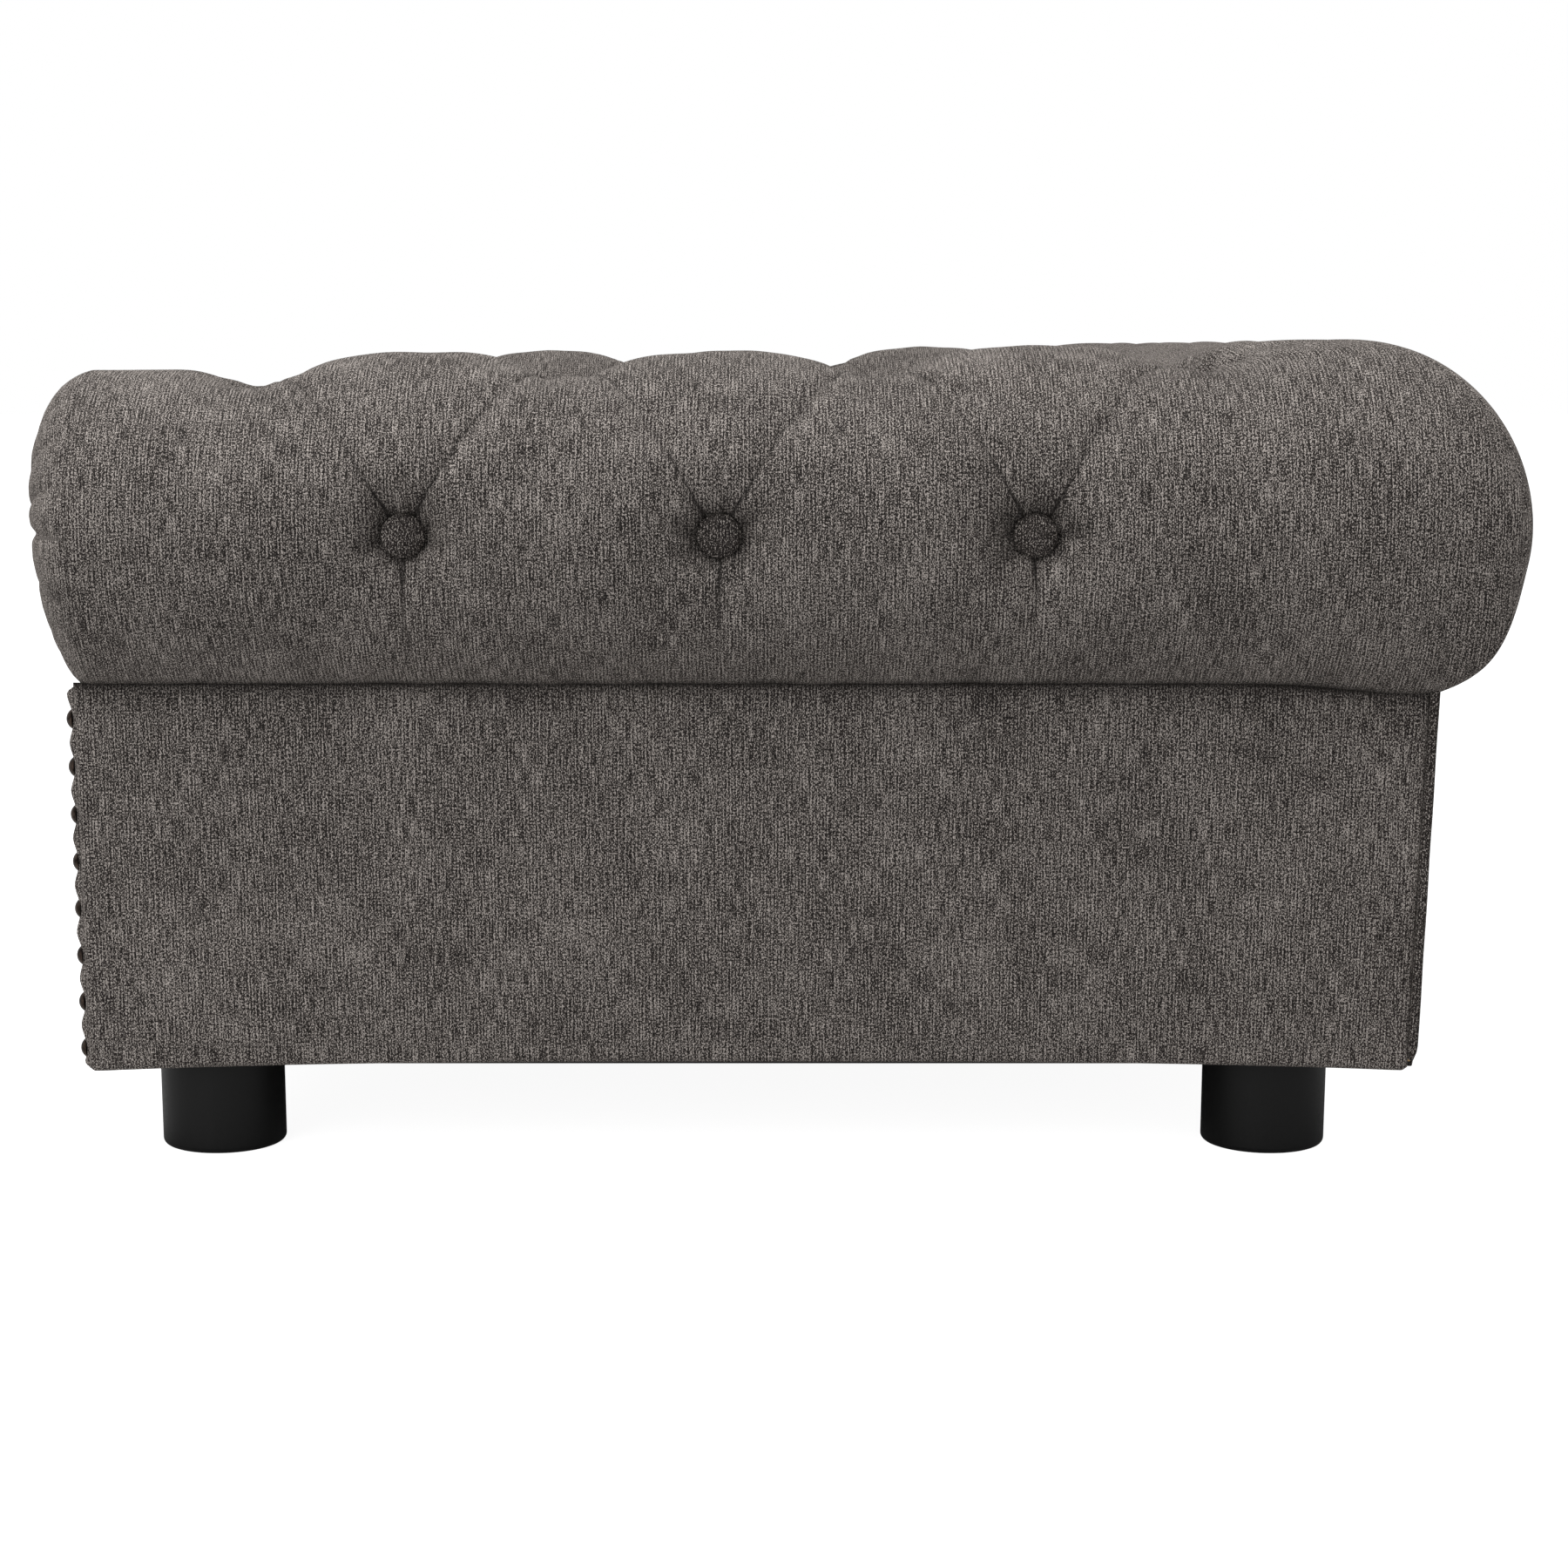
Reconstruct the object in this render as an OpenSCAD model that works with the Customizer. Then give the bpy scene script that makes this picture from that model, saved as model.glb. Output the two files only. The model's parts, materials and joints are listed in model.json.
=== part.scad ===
// Tufted roll-arm pet sofa, in millimetres, +Z up.
// X runs along the sofa, the front is -Y, "right" is +X. The origin is on the floor, under
// the middle of the sofa.

/* [Overall] */
// Length over the two arm rolls
overall_l = 1020; // [900:10:1200]
// Depth from the front of the roll ends to the back of the back roll
overall_d = 640; // [600:10:760]
// Floor to the centre line of the rolls
roll_z = 275; // [265:1:320]
// Height of the feet
foot_h = 45; // [35:1:60]
// Floor to the lower edge of the covers
skirt_z = 43; // [32:1:60]
// Floor to the top of the seat deck
deck_z = 128; // [120:1:140]

/* [Rolls] */
// Radius of the padded rolls
roll_r = 75; // [70:1:80]
// Radius of the rigid core inside a roll
core_r = 50; // [44:1:54]
// How far an arm roll hangs out past the flat panel under it
overhang = 39; // [34:1:44]
// How far the back roll hangs out past the rear panel
rear_overhang = 43; // [38:1:46]
// Angle below the horizontal at which a roll's cover ends, on the outside
tuck_angle = 63; // [58:1:68]
// How far the back roll stands above the round section
back_rise = 5; // [0:1:10]
// How far the front of an arm roll stands below the round section
front_drop = 8; // [0:1:12]
// Thickness of the pleated roll end
end_t = 27; // [20:1:34]
// Number of pleats round a roll end
end_pleats = 18; // [12:1:24]
// Depth of the pleats round a roll end
end_pleat_depth = 3; // [1:0.5:5]
// How much further forward the top of a roll end stands than its bottom
end_lean = 5; // [0:0.5:8]

/* [Tufting] */
// Button spacing along an arm
arm_pitch = 131; // [120:1:140]
// Place of the middle outer button of an arm, from the middle of the sofa
arm_button_y = -26; // [-40:1:-10]
// Button spacing along the back
back_pitch = 134; // [128:1:138]
// Depth of a button's dimple below the pleats
dimple_depth = 11; // [4:0.5:14]
// Depth of the pleats between the buttons
pleat_depth = 7; // [2:0.5:9]
// Reach of a dimple from the edge of its button
dimple_reach = 34; // [20:1:40]
// Diameter of a covered button
button_d = 19; // [15:0.5:22]
// Thickness of a covered button
button_t = 6; // [4:0.5:8]
// Diameter of the button in the middle of a roll end
end_button_d = 26; // [20:0.5:32]

/* [Frame] */
// Thickness of the panels of the arms and the back
board_t = 12; // [9:0.5:15]
// Thickness of the seat deck
deck_t = 12; // [9:0.5:16]
// Thickness of the front rail and of the ledgers
rail_t = 18; // [15:0.5:24]
// Height of the side rails and the rear rail
rail_h = 30; // [24:1:36]
// Height of the ledgers under the deck
ledger_h = 20; // [15:1:30]
// Depth of the posts that carry the cores
post_t = 30; // [20:1:40]
// Width of the middle bearer under the deck
bearer_w = 24; // [18:1:40]

/* [Covers] */
// Thickness of the fabric and wadding on the flat panels
cover_t = 2; // [1:0.5:4]
// Width of the cover's turned-under hem
hem_w = 13; // [8:1:13]
// Thickness of the upholstered facings and of the front apron
facing_t = 10; // [8:0.5:14]
// Thickness of the dust cloth under the base
dust_t = 1; // [0.8:0.1:1.5]
// Diameter of the piping on the rear corners
piping_d = 4.4; // [3:0.1:5]

/* [Nails] */
// Diameter of a nail head
nail_d = 9.2; // [7:0.1:11]
// Height of a nail head
nail_h = 3; // [2:0.1:4]
// Spacing of the nails
nail_pitch = 20.6; // [18:0.1:24]
// Distance of the nails from the edge of the facing
nail_inset = 6.5; // [5.5:0.1:9]
// Height of the lowest nail above the lower edge of the facing
nail_low = 8.3; // [6:0.1:12]

/* [Feet] */
// Diameter of a foot
foot_d = 55; // [45:1:58]
// Rounding of a foot's edges
foot_round = 2.5; // [1:0.5:4]
// Distance of the front feet's centres behind the front of the base
foot_front = 52; // [45:1:70]
// Distance of the rear feet's centres in front of the rear panel
foot_rear = 59; // [50:1:80]
// Diameter of the stud in a foot
stud_d = 8; // [6:1:10]
// Length of the stud inside the foot
stud_in_foot = 20; // [15:1:25]
// Length of the stud above the foot
stud_out = 24; // [18:1:28]
// Diameter of a tee nut's flange
tee_flange_d = 22; // [20:1:26]
// Thickness of a tee nut's flange
tee_flange_t = 1.5; // [1:0.1:2]
// Wall of a tee nut's barrel
tee_wall = 1.2; // [1:0.1:1.5]
// Length of a tee nut's barrel
tee_l = 11; // [8:1:14]

/* [Fasteners] */
// Diameter of the frame bolts
bolt_d = 6; // [5:1:8]
// Length of a frame bolt under its head
bolt_l = 50; // [40:1:60]
// Diameter of a bolt's head
bolt_head_d = 13; // [11:1:16]
// Height of a bolt's head
bolt_head_h = 4; // [3:0.5:5]
// Diameter of the deck screws
screw_d = 4; // [3.5:0.5:5]
// Length of a deck screw
screw_l = 24; // [22:1:28]
// Diameter of a deck screw's head
screw_head_d = 8; // [7:0.5:9]

/* [Cushion] */
// Gap between the cushion and the padded walls
cushion_gap = 4; // [3:0.5:8]
// Gap behind the cushion, where its zip lies
zip_room = 12; // [11:0.5:16]
// How far the cushion's front stands past the apron
cushion_nose = 3; // [0:0.5:6]
// Height of the cushion's boxing, from seam to seam
boxing_h = 80; // [66:1:86]
// Rise of the crown over the upper seam
crown_h = 17; // [8:1:20]
// Radius of the cushion's upright corners
cushion_corner = 26; // [18:1:32]
// How far the cushion's sides draw in between the corners
draw_in = 4; // [0:0.5:8]
// Thickness of cover and wadding round the foam core
wrap_t = 14; // [11:1:18]

/* [Zip] */
// Length of the zip
zip_l = 560; // [400:10:600]
// Width of the zip tape
tape_w = 24; // [18:1:30]
// Thickness of the zip tape
tape_t = 0.8; // [0.6:0.1:1]
// Width of the closed chain
chain_w = 6; // [5:0.5:7]
// Thickness of the closed chain
chain_t = 2.4; // [2:0.1:3]
// Length of the slider
slider_l = 14; // [10:1:18]
// Wall of the slider
slider_wall = 1.2; // [1:0.1:1.5]

/* [Fits] */
// Radial clearance of bolts, studs and nuts in their holes
hole_gap = 0.05; // [0.02:0.01:0.15]
// Gap between a soft piece and its neighbour
soft_gap = 0.3; // [0.2:0.1:0.6]
// Running gap between the slider and the chain
slider_gap = 0.35; // [0.3:0.05:0.6]

/* [Hidden] */

$fn = 48;
tiny = 0.01;
far = 3000;

fabric = "#6b6460";
fabric_dark = "#544e4a";
timber = "#c9a878";
plywood = "#b98f5c";
steel = "#a8abae";
plastic = "#1b1b1c";
bronze = "#5b4636";
cloth_black = "#262626";
foam = "#e6dcc0";

// Centre lines of the rolls and faces of the flat panels
arm_x = overall_l / 2 - roll_r;
back_y = overall_d / 2 - roll_r;
side_x = overall_l / 2 - overhang;
rear_y = overall_d / 2 - rear_overhang;
front_y = -overall_d / 2 + end_t;
face_y = front_y - facing_t;
wall_x = arm_x - roll_r;
wall_y = back_y - roll_r;
base_z = foot_h + dust_t;
inner_x = arm_x - core_r;
inner_y = back_y - core_r;
cavity_in_x = inner_x + board_t;
outer_x = side_x - cover_t;
outer_y = rear_y - cover_t;
cavity_out_x = outer_x - board_t;
cavity_out_y = outer_y - board_t;
cavity_in_y = inner_y + board_t;
post_y = front_y + post_t;
tuck_z = roll_z - roll_r * sin(tuck_angle);
inner_top = roll_z - sqrt(pow(core_r, 2) - pow(core_r - board_t, 2));
foot_x = (cavity_in_x + cavity_out_x) / 2;
foot_front_y = face_y + foot_front;
foot_rear_y = rear_y - foot_rear;

// Tufting. A point of a roll is (s, w): s is the arc length round the section, from the
// outermost line up over the top and down the inner wall, and w runs along the roll.
row_gap = roll_r * PI / 2;
wall_s = 2 * row_gap;
end_s = wall_s + roll_z - deck_z;
tuck_s = -roll_r * tuck_angle * PI / 180;
sink = pleat_depth + dimple_depth;
flat = button_d / 2 + 0.5;
seat_reach = flat + 2.5;
// The seat's half width as an arc on the plain roll
seat_s = roll_r * atan(flat / (roll_r - sink)) * PI / 180;
outer_steps = [0, seat_s, row_gap * 0.28, row_gap * 0.5, row_gap * 0.72, row_gap - seat_s];
inner_steps = [0, seat_s, row_gap * 0.5, row_gap - seat_s];
section_s = concat(
    [tuck_s, tuck_s * 0.55, -seat_s], outer_steps, [for (s = inner_steps) s + row_gap],
    [wall_s, wall_s + seat_s, end_s]);
core_turns = 6;
core_step = (180 + tuck_angle) / core_turns;
core_clear = (core_r + soft_gap) / cos(core_step / 2);

function smooth(a, b, v) = let(t = min(1, max(0, (v - a) / (b - a)))) t * t * (3 - 2 * t);
function row_angle(s) = s / roll_r * 180 / PI;

// How deep the cover lies below the plain roll, with the outer buttons at w = 0, pitch, ...
function nearest(v, pitch, shift) = abs(v - shift - pitch * round((v - shift) / pitch));
function button_distance(s, w, pitch) = min(
    norm([s, nearest(w, pitch, 0)]),
    norm([s - row_gap, nearest(w, pitch, pitch / 2)]),
    norm([s - wall_s, nearest(w, pitch, 0)]));
function puff(s, w, pitch) =
    let(q = 180 * min(wall_s, max(0, s)) / wall_s, p = 180 * w / pitch)
    sqrt(abs(sin(p - q) * sin(p + q)));
// The seat of a button is flat, so that the cover bears on the whole of it
function button_row(s) = min(2, max(0, round(s / row_gap)));
function in_seat(s, w, pitch) = let(row = button_row(s))
    abs(s - row * row_gap) <= seat_s + tiny
    && nearest(w, pitch, row == 1 ? pitch / 2 : 0) <= seat_reach;
function seat_depth(s) =
    roll_r - (roll_r - sink) / cos(row_angle(min(s, wall_s) - button_row(s) * row_gap));
function tuft_depth(s, w, pitch) = in_seat(s, w, pitch) ? seat_depth(s) :
    pleat_depth * pow(1 - puff(s, w, pitch), 2)
    + dimple_depth * (1 - smooth(flat, flat + dimple_reach, button_distance(s, w, pitch)));
function wall_fade(s) = 1 - smooth(wall_s + 70, end_s, s);

// Section of the padding as [outward from the centre line, height above it]
function outer_point(s, depth, rise) =
    let(r = roll_r - depth, a = row_angle(min(s, wall_s)))
    [r * cos(a), r * sin(a) * (1 + (a > 0 ? rise / roll_r : 0)) - max(0, s - wall_s)];
function core_points() = concat(
    [[-core_r - soft_gap, deck_z - roll_z]],
    [for (i = [0:core_turns])
        let(a = 180 - i * core_step) [core_clear * cos(a), core_clear * sin(a)]]);
function ring_section(w, pitch, amount, rise) = concat(
    [for (s = section_s) outer_point(s, amount * wall_fade(s) * tuft_depth(s, w, pitch), rise)],
    core_points());

// Plan of the rounded corner where an arm meets the back: t = 0 on the straight roll,
// t = 1 on the diagonal where the two covers meet. The outer face is rounded off there, less
// so towards its foot, and the top line, u = 0, passes the place w on its way.
corner_keep = 0.84;
function keep_at(p) = p[0] < 0 || norm(p) < core_clear + tiny ? 1 :
    corner_keep + (1 - corner_keep) * smooth(10, 60, -atan2(p[1], p[0]));
function corner_point(p, start, t) =
    let(u = p[0], keep = keep_at(p), outer = smooth(-roll_r / 2, roll_r / 2, u),
        bend = (1 - outer) * (start + u) / 2 + outer * (2 * keep - 1) * u)
    [u * (1 - t * t * (1 - keep)),
     (1 - t) * (1 - t) * start + 2 * t * (1 - t) * bend + t * t * keep * u];
function corner_t(w, from, to) = 1.5 - sqrt(0.25 + 2 * (to - w) / (to - from));

// A closed skin over rings that all have the same number of points
function skin_faces(rings, n) = concat(
    [[for (i = [0:n - 1]) i]],
    [[for (i = [n - 1:-1:0]) (rings - 1) * n + i]],
    [for (j = [0:rings - 2], i = [0:n - 1], half = [0, 1])
        let(a = j * n + i, b = j * n + (i + 1) % n)
        half == 0 ? [a, a + n, b + n] : [a, b + n, b]]);
module skin(rings) {
    polyhedron(
        points = [for (ring = rings, p = ring) p],
        faces = skin_faces(len(rings), len(rings[0])));
}

module on_left() { mirror([1, 0, 0]) children(); }
module box(low, high) { translate(low) cube(high - low); }
// A part of the space on the far side of the diagonal plane through a corner of the rolls
module beyond_corner() {
    translate([arm_x, back_y, 0]) rotate([0, 0, 45]) translate([-far / 2, 0, -far / 2])
        cube(far);
}
// A shape drawn in X and Z, drawn out along Y
module along_y(y0, y1) {
    translate([0, y1, 0]) rotate([90, 0, 0]) linear_extrude(y1 - y0) children();
}

// Timber frame
module deck_screw_places() {
    edge = rail_t / 2;
    for (x = [-wall_x / 2, wall_x / 2])
        translate([x, front_y + edge, deck_z]) children();
    for (x = [-wall_x / 2, wall_x / 2])
        translate([x, inner_y - edge, deck_z]) children();
    for (y = [face_y * 0.5, 0], sx = [-1, 1])
        translate([sx * (inner_x - edge), y, deck_z]) children();
}
module screw_shape(gap) {
    head = screw_head_d / 2 + gap;
    depth = head - screw_d / 2;
    translate([0, 0, -screw_l - gap]) cylinder(d = screw_d + 2 * gap, h = screw_l + gap);
    translate([0, 0, -depth]) cylinder(r1 = screw_d / 2, r2 = head, h = depth);
}
module bolt_places() {
    rear_mid = (cavity_in_y + cavity_out_y) / 2;
    low = base_z + rail_h / 2;
    for (z = [low, low + rail_h])
        translate([cavity_in_x, front_y + rail_t / 2, z]) rotate([0, -90, 0]) children();
    for (y = [rear_mid - post_t / 2, rear_mid + post_t / 2])
        translate([cavity_in_x, y, low]) rotate([0, -90, 0]) children();
}
module bolt_hole() { cylinder(d = bolt_d + 2 * hole_gap, h = bolt_l + hole_gap); }
module foot_places() {
    for (y = [foot_front_y, foot_rear_y]) translate([foot_x, y, 0]) children();
}

module front_rail() {
    color(timber) difference() {
        box([-inner_x, front_y, base_z], [inner_x, front_y + rail_t, deck_z - deck_t]);
        bolt_places() bolt_hole();
        on_left() bolt_places() bolt_hole();
        deck_screw_places() screw_shape(hole_gap);
    }
}
module rear_rail() {
    color(timber) difference() {
        box([-inner_x, cavity_in_y, base_z], [inner_x, cavity_out_y, base_z + rail_h]);
        bolt_places() bolt_hole();
        on_left() bolt_places() bolt_hole();
    }
}
module right_side_rail() {
    color(timber) difference() {
        box([cavity_in_x, front_y, base_z], [cavity_out_x, cavity_out_y, base_z + rail_h]);
        foot_places() translate([0, 0, base_z - tiny]) {
            cylinder(d = stud_d + 2 * tee_wall + 2 * hole_gap, h = rail_h + 2 * tiny);
            cylinder(d = tee_flange_d + 2 * hole_gap, h = tee_flange_t + tiny);
        }
        bolt_places() mirror([0, 0, 1]) translate([0, 0, -tiny])
            cylinder(d = bolt_head_d + 1, h = bolt_head_h + 1);
    }
}
module left_side_rail() { on_left() right_side_rail(); }
module center_bearer() {
    color(timber) box([-bearer_w / 2, front_y + rail_t, base_z + rail_h],
        [bearer_w / 2, inner_y - rail_t, deck_z - deck_t]);
}
module right_ledger() {
    color(timber) difference() {
        box([inner_x - rail_t, front_y + rail_t, deck_z - deck_t - ledger_h],
            [inner_x, inner_y, deck_z - deck_t]);
        deck_screw_places() screw_shape(hole_gap);
    }
}
module left_ledger() { on_left() right_ledger(); }
module rear_ledger() {
    color(timber) difference() {
        box([rail_t - inner_x, inner_y - rail_t, deck_z - deck_t - ledger_h],
            [inner_x - rail_t, inner_y, deck_z - deck_t]);
        deck_screw_places() screw_shape(hole_gap);
    }
}
module seat_deck() {
    color(plywood) difference() {
        box([-inner_x, front_y, deck_z - deck_t], [inner_x, inner_y, deck_z]);
        deck_screw_places() screw_shape(hole_gap);
    }
}
module right_inner_board() {
    color(plywood) difference() {
        box([inner_x, front_y, base_z], [cavity_in_x, cavity_out_y, inner_top]);
        bolt_places() translate([0, 0, -tiny]) bolt_hole();
        back_axis() core_cut();
    }
}
module left_inner_board() { on_left() right_inner_board(); }
module right_outer_board() {
    color(plywood) box([cavity_out_x, front_y, base_z],
        [outer_x, cavity_out_y, tuck_z - soft_gap]);
}
module left_outer_board() { on_left() right_outer_board(); }
module back_inner_board() {
    color(plywood) box([-inner_x, inner_y, base_z], [inner_x, cavity_in_y, inner_top]);
}
module back_outer_board() {
    color(plywood) box([-outer_x, cavity_out_y, base_z],
        [outer_x, outer_y, tuck_z - soft_gap]);
}
// A post reaches up to the core and carries it in a saddle
module right_front_post() {
    color(timber) difference() {
        box([cavity_in_x, front_y, base_z + rail_h], [cavity_out_x, post_y, inner_top]);
        arm_axis() core_cut();
        bolt_places() mirror([0, 0, 1]) translate([0, 0, -tiny])
            cylinder(d = bolt_head_d + 1, h = bolt_head_h + 1);
    }
}
module left_front_post() { on_left() right_front_post(); }
module right_rear_post() {
    color(timber) box([cavity_in_x, cavity_out_y - post_t, base_z + rail_h],
        [cavity_out_x, cavity_out_y, roll_z - core_r - soft_gap]);
}
module left_rear_post() { on_left() right_rear_post(); }
module back_post() {
    color(timber) difference() {
        box([-post_t / 2, cavity_in_y, base_z + rail_h], [post_t / 2, cavity_out_y, inner_top]);
        back_axis() core_cut();
    }
}

// Cores of the rolls, cut at the corner's diagonal
module arm_axis() { translate([arm_x, 0, roll_z]) rotate([90, 0, 0]) children(); }
module back_axis() { translate([0, back_y, roll_z]) rotate([0, 90, 0]) children(); }
module core_cut() { cylinder(r = core_r + soft_gap, h = far, center = true, $fn = 96); }
module right_arm_core() {
    color(foam) difference() {
        translate([arm_x, back_y + core_r, roll_z]) rotate([90, 0, 0])
            cylinder(r = core_r, h = back_y + core_r - front_y, $fn = 96);
        beyond_corner();
    }
}
module left_arm_core() { on_left() right_arm_core(); }
module back_core() {
    length = 2 * (arm_x + core_r);
    color(foam) difference() {
        translate([-length / 2, back_y, roll_z]) rotate([0, 90, 0])
            cylinder(r = core_r, h = length, $fn = 96);
        translate([arm_x, back_y, 0]) rotate([0, 0, 45]) translate([-far / 2, -far, -far / 2])
            cube(far);
        on_left() translate([arm_x, back_y, 0]) rotate([0, 0, 45])
            translate([-far / 2, -far, -far / 2]) cube(far);
    }
}

// Fasteners
module bolt_shape() {
    cylinder(d = bolt_d, h = bolt_l);
    translate([0, 0, -bolt_head_h]) cylinder(d = bolt_head_d, h = bolt_head_h);
}
module frame_bolts() {
    color(steel) {
        bolt_places() bolt_shape();
        on_left() bolt_places() bolt_shape();
    }
}
module deck_screws() { color(steel) deck_screw_places() screw_shape(0); }
module tee_nut() {
    translate([0, 0, base_z]) difference() {
        union() {
            cylinder(d = tee_flange_d, h = tee_flange_t);
            cylinder(d = stud_d + 2 * tee_wall, h = tee_l);
        }
        translate([0, 0, -tiny]) cylinder(d = stud_d + 2 * hole_gap, h = tee_l + 2 * tiny);
    }
}
module tee_nuts() {
    color(steel) {
        foot_places() tee_nut();
        on_left() foot_places() tee_nut();
    }
}
module foot_stud() {
    translate([0, 0, foot_h - stud_in_foot]) cylinder(d = stud_d, h = stud_in_foot + stud_out);
}
module foot_studs() {
    color(steel) {
        foot_places() foot_stud();
        on_left() foot_places() foot_stud();
    }
}

// Moulded foot with rounded edges and a blind hole for its stud
function quarter(x, z, r, a0) = [
    for (i = [0:6]) [x + r * cos(a0 + i * 15), z + r * sin(a0 + i * 15)]];
module foot_shape() {
    r = foot_d / 2 - foot_round;
    difference() {
        rotate_extrude($fn = 96) polygon(concat([[0, 0]],
            quarter(r, foot_round, foot_round, -90),
            quarter(r, foot_h - foot_round, foot_round, 0), [[0, foot_h]]));
        translate([0, 0, foot_h - stud_in_foot]) cylinder(d = stud_d + 2 * hole_gap, h = foot_h);
    }
}
module foot_at(x, y) { color(plastic) translate([x, y, 0]) foot_shape(); }
module front_left_foot() { foot_at(-foot_x, foot_front_y); }
module front_right_foot() { foot_at(foot_x, foot_front_y); }
module rear_left_foot() { foot_at(-foot_x, foot_rear_y); }
module rear_right_foot() { foot_at(foot_x, foot_rear_y); }

// Flat covers
module stud_clearance() {
    foot_places() translate([0, 0, foot_h - tiny])
        cylinder(d = stud_d + 2 * hole_gap + 1, h = dust_t + 2 * tiny);
}
module dust_cloth() {
    color(cloth_black) difference() {
        box([-outer_x, front_y, foot_h], [outer_x, outer_y, base_z]);
        stud_clearance();
        on_left() stud_clearance();
    }
}
// The cover goes down its panel and turns under it
module cover_section(face, top) {
    polygon([[face - cover_t, skirt_z + cover_t], [face - cover_t, top], [face, top],
        [face, skirt_z], [face - cover_t - hem_w, skirt_z],
        [face - cover_t - hem_w, skirt_z + cover_t]]);
}
module right_side_cover() {
    color(fabric) along_y(front_y, outer_y - cover_t)
        cover_section(side_x, tuck_z - soft_gap);
}
module left_side_cover() { on_left() right_side_cover(); }
module back_cover() {
    reach = outer_x - cover_t - hem_w;
    color(fabric) {
        difference() {
            rotate([0, 0, 90]) along_y(-outer_x + cover_t, outer_x - cover_t)
                cover_section(rear_y, tuck_z - soft_gap);
            for (side = [-1, 1]) translate([side * (reach + far / 2), 0, skirt_z + cover_t / 2])
                cube([far, far, cover_t + 2 * tiny], center = true);
        }
    }
}
module front_apron() {
    color(fabric) box([soft_gap - wall_x, face_y, skirt_z],
        [wall_x - soft_gap, front_y, deck_z]);
}
module right_rear_piping() {
    off = piping_d / 2 / sqrt(2) + soft_gap;
    color(fabric_dark) translate([outer_x + off, outer_y + off, skirt_z])
        cylinder(d = piping_d, h = tuck_z - skirt_z - 2);
}
module left_rear_piping() { on_left() right_rear_piping(); }

// Tufted padding of an arm: straight rings between the front and the corner, then the corner
arm_half = arm_pitch / 2;
half_steps = [0, flat, 0.365 * arm_half, 0.635 * arm_half, arm_half - flat];
arm_first = ceil((front_y + 20 - arm_button_y) / arm_half);
arm_last = floor((wall_y - 20 - arm_button_y) / arm_half);
arm_stations = concat(
    [front_y],
    [for (k = [arm_first - 1:arm_last], step = half_steps)
        let(y = arm_button_y + k * arm_half + step)
        if (y > front_y + 5 && y < wall_y - 20) y]);
arm_end = arm_stations[len(arm_stations) - 1];
// The rise is level along each button of the top row
function level_place(y) =
    let(v = y - arm_button_y - arm_half, k = round(v / arm_pitch))
    abs(v - k * arm_pitch) <= seat_reach ? arm_button_y + arm_half + k * arm_pitch : y;
function arm_rise(y) = let(v = level_place(y))
    -front_drop * (1 - smooth(front_y, arm_button_y - arm_pitch, v))
    + back_rise * smooth(arm_button_y, back_y, v);
// The tufting begins at the first button of the top row; the roll is plain where its end is sewn
arm_tuft_from = arm_button_y + arm_first * arm_half - seat_reach;
function arm_ring(y) = [
    for (p = ring_section(y - arm_button_y, arm_pitch, smooth(front_y, arm_tuft_from, y), arm_rise(y)))
        [arm_x + p[0], y, roll_z + p[1]]];
// The last button of the top row lies in the corner
arm_last_button = arm_button_y + (arm_last + 1) * arm_half;
arm_fade_from = arm_last_button + seat_reach;
arm_corner_places = concat(
    [for (step = [-1, 0, 1]) arm_last_button + step * seat_reach],
    [for (i = [1:3]) arm_fade_from + (back_y - arm_fade_from) * i / 3]);
function arm_corner_ring(w) =
    let(t = corner_t(w, arm_end, back_y), fade = 1 - smooth(arm_fade_from, back_y, w))
    [for (p = ring_section(w - arm_button_y, arm_pitch, fade, arm_rise(w)))
        let(c = corner_point(p, arm_end - back_y, t))
        [arm_x + c[0], back_y + c[1], roll_z + p[1]]];
module right_arm_pad() {
    rings = concat(
        [for (y = arm_stations) arm_ring(y)],
        [for (w = arm_corner_places) arm_corner_ring(w)]);
    color(fabric) skin([for (ring = rings) [for (i = [len(ring) - 1:-1:0]) ring[i]]]);
}
module left_arm_pad() { on_left() right_arm_pad(); }

// Tufted padding of the back, from one corner to the other
back_half = back_pitch / 2;
back_steps = [0, flat + 1, back_half / 2, back_half - flat - 1];
back_last = floor((wall_x - 20) / back_half);
back_stations = [for (k = [-back_last:back_last - 1], step = back_steps) k * back_half + step];
back_end = back_last * back_half + flat + 1;
function back_ring(x) = [
    for (p = ring_section(x, back_pitch, 1, back_rise)) [x, back_y + p[0], roll_z + p[1]]];
corner_steps = 5;
function back_corner_ring(i, side) =
    let(t = i / corner_steps, w = back_end + t * (arm_x - back_end))
    [for (p = ring_section(w, back_pitch, 1 - smooth(back_end, arm_x, w), back_rise))
        let(c = corner_point(p, back_end - arm_x, t))
        [side * (arm_x + c[1]), back_y + c[0], roll_z + p[1]]];
module back_pad() {
    color(fabric) skin(concat(
        [for (i = [corner_steps:-1:0]) back_corner_ring(i, -1)],
        [for (x = back_stations) if (abs(x) < back_end) back_ring(x)],
        [for (i = [0:corner_steps]) back_corner_ring(i, 1)]));
}

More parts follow.
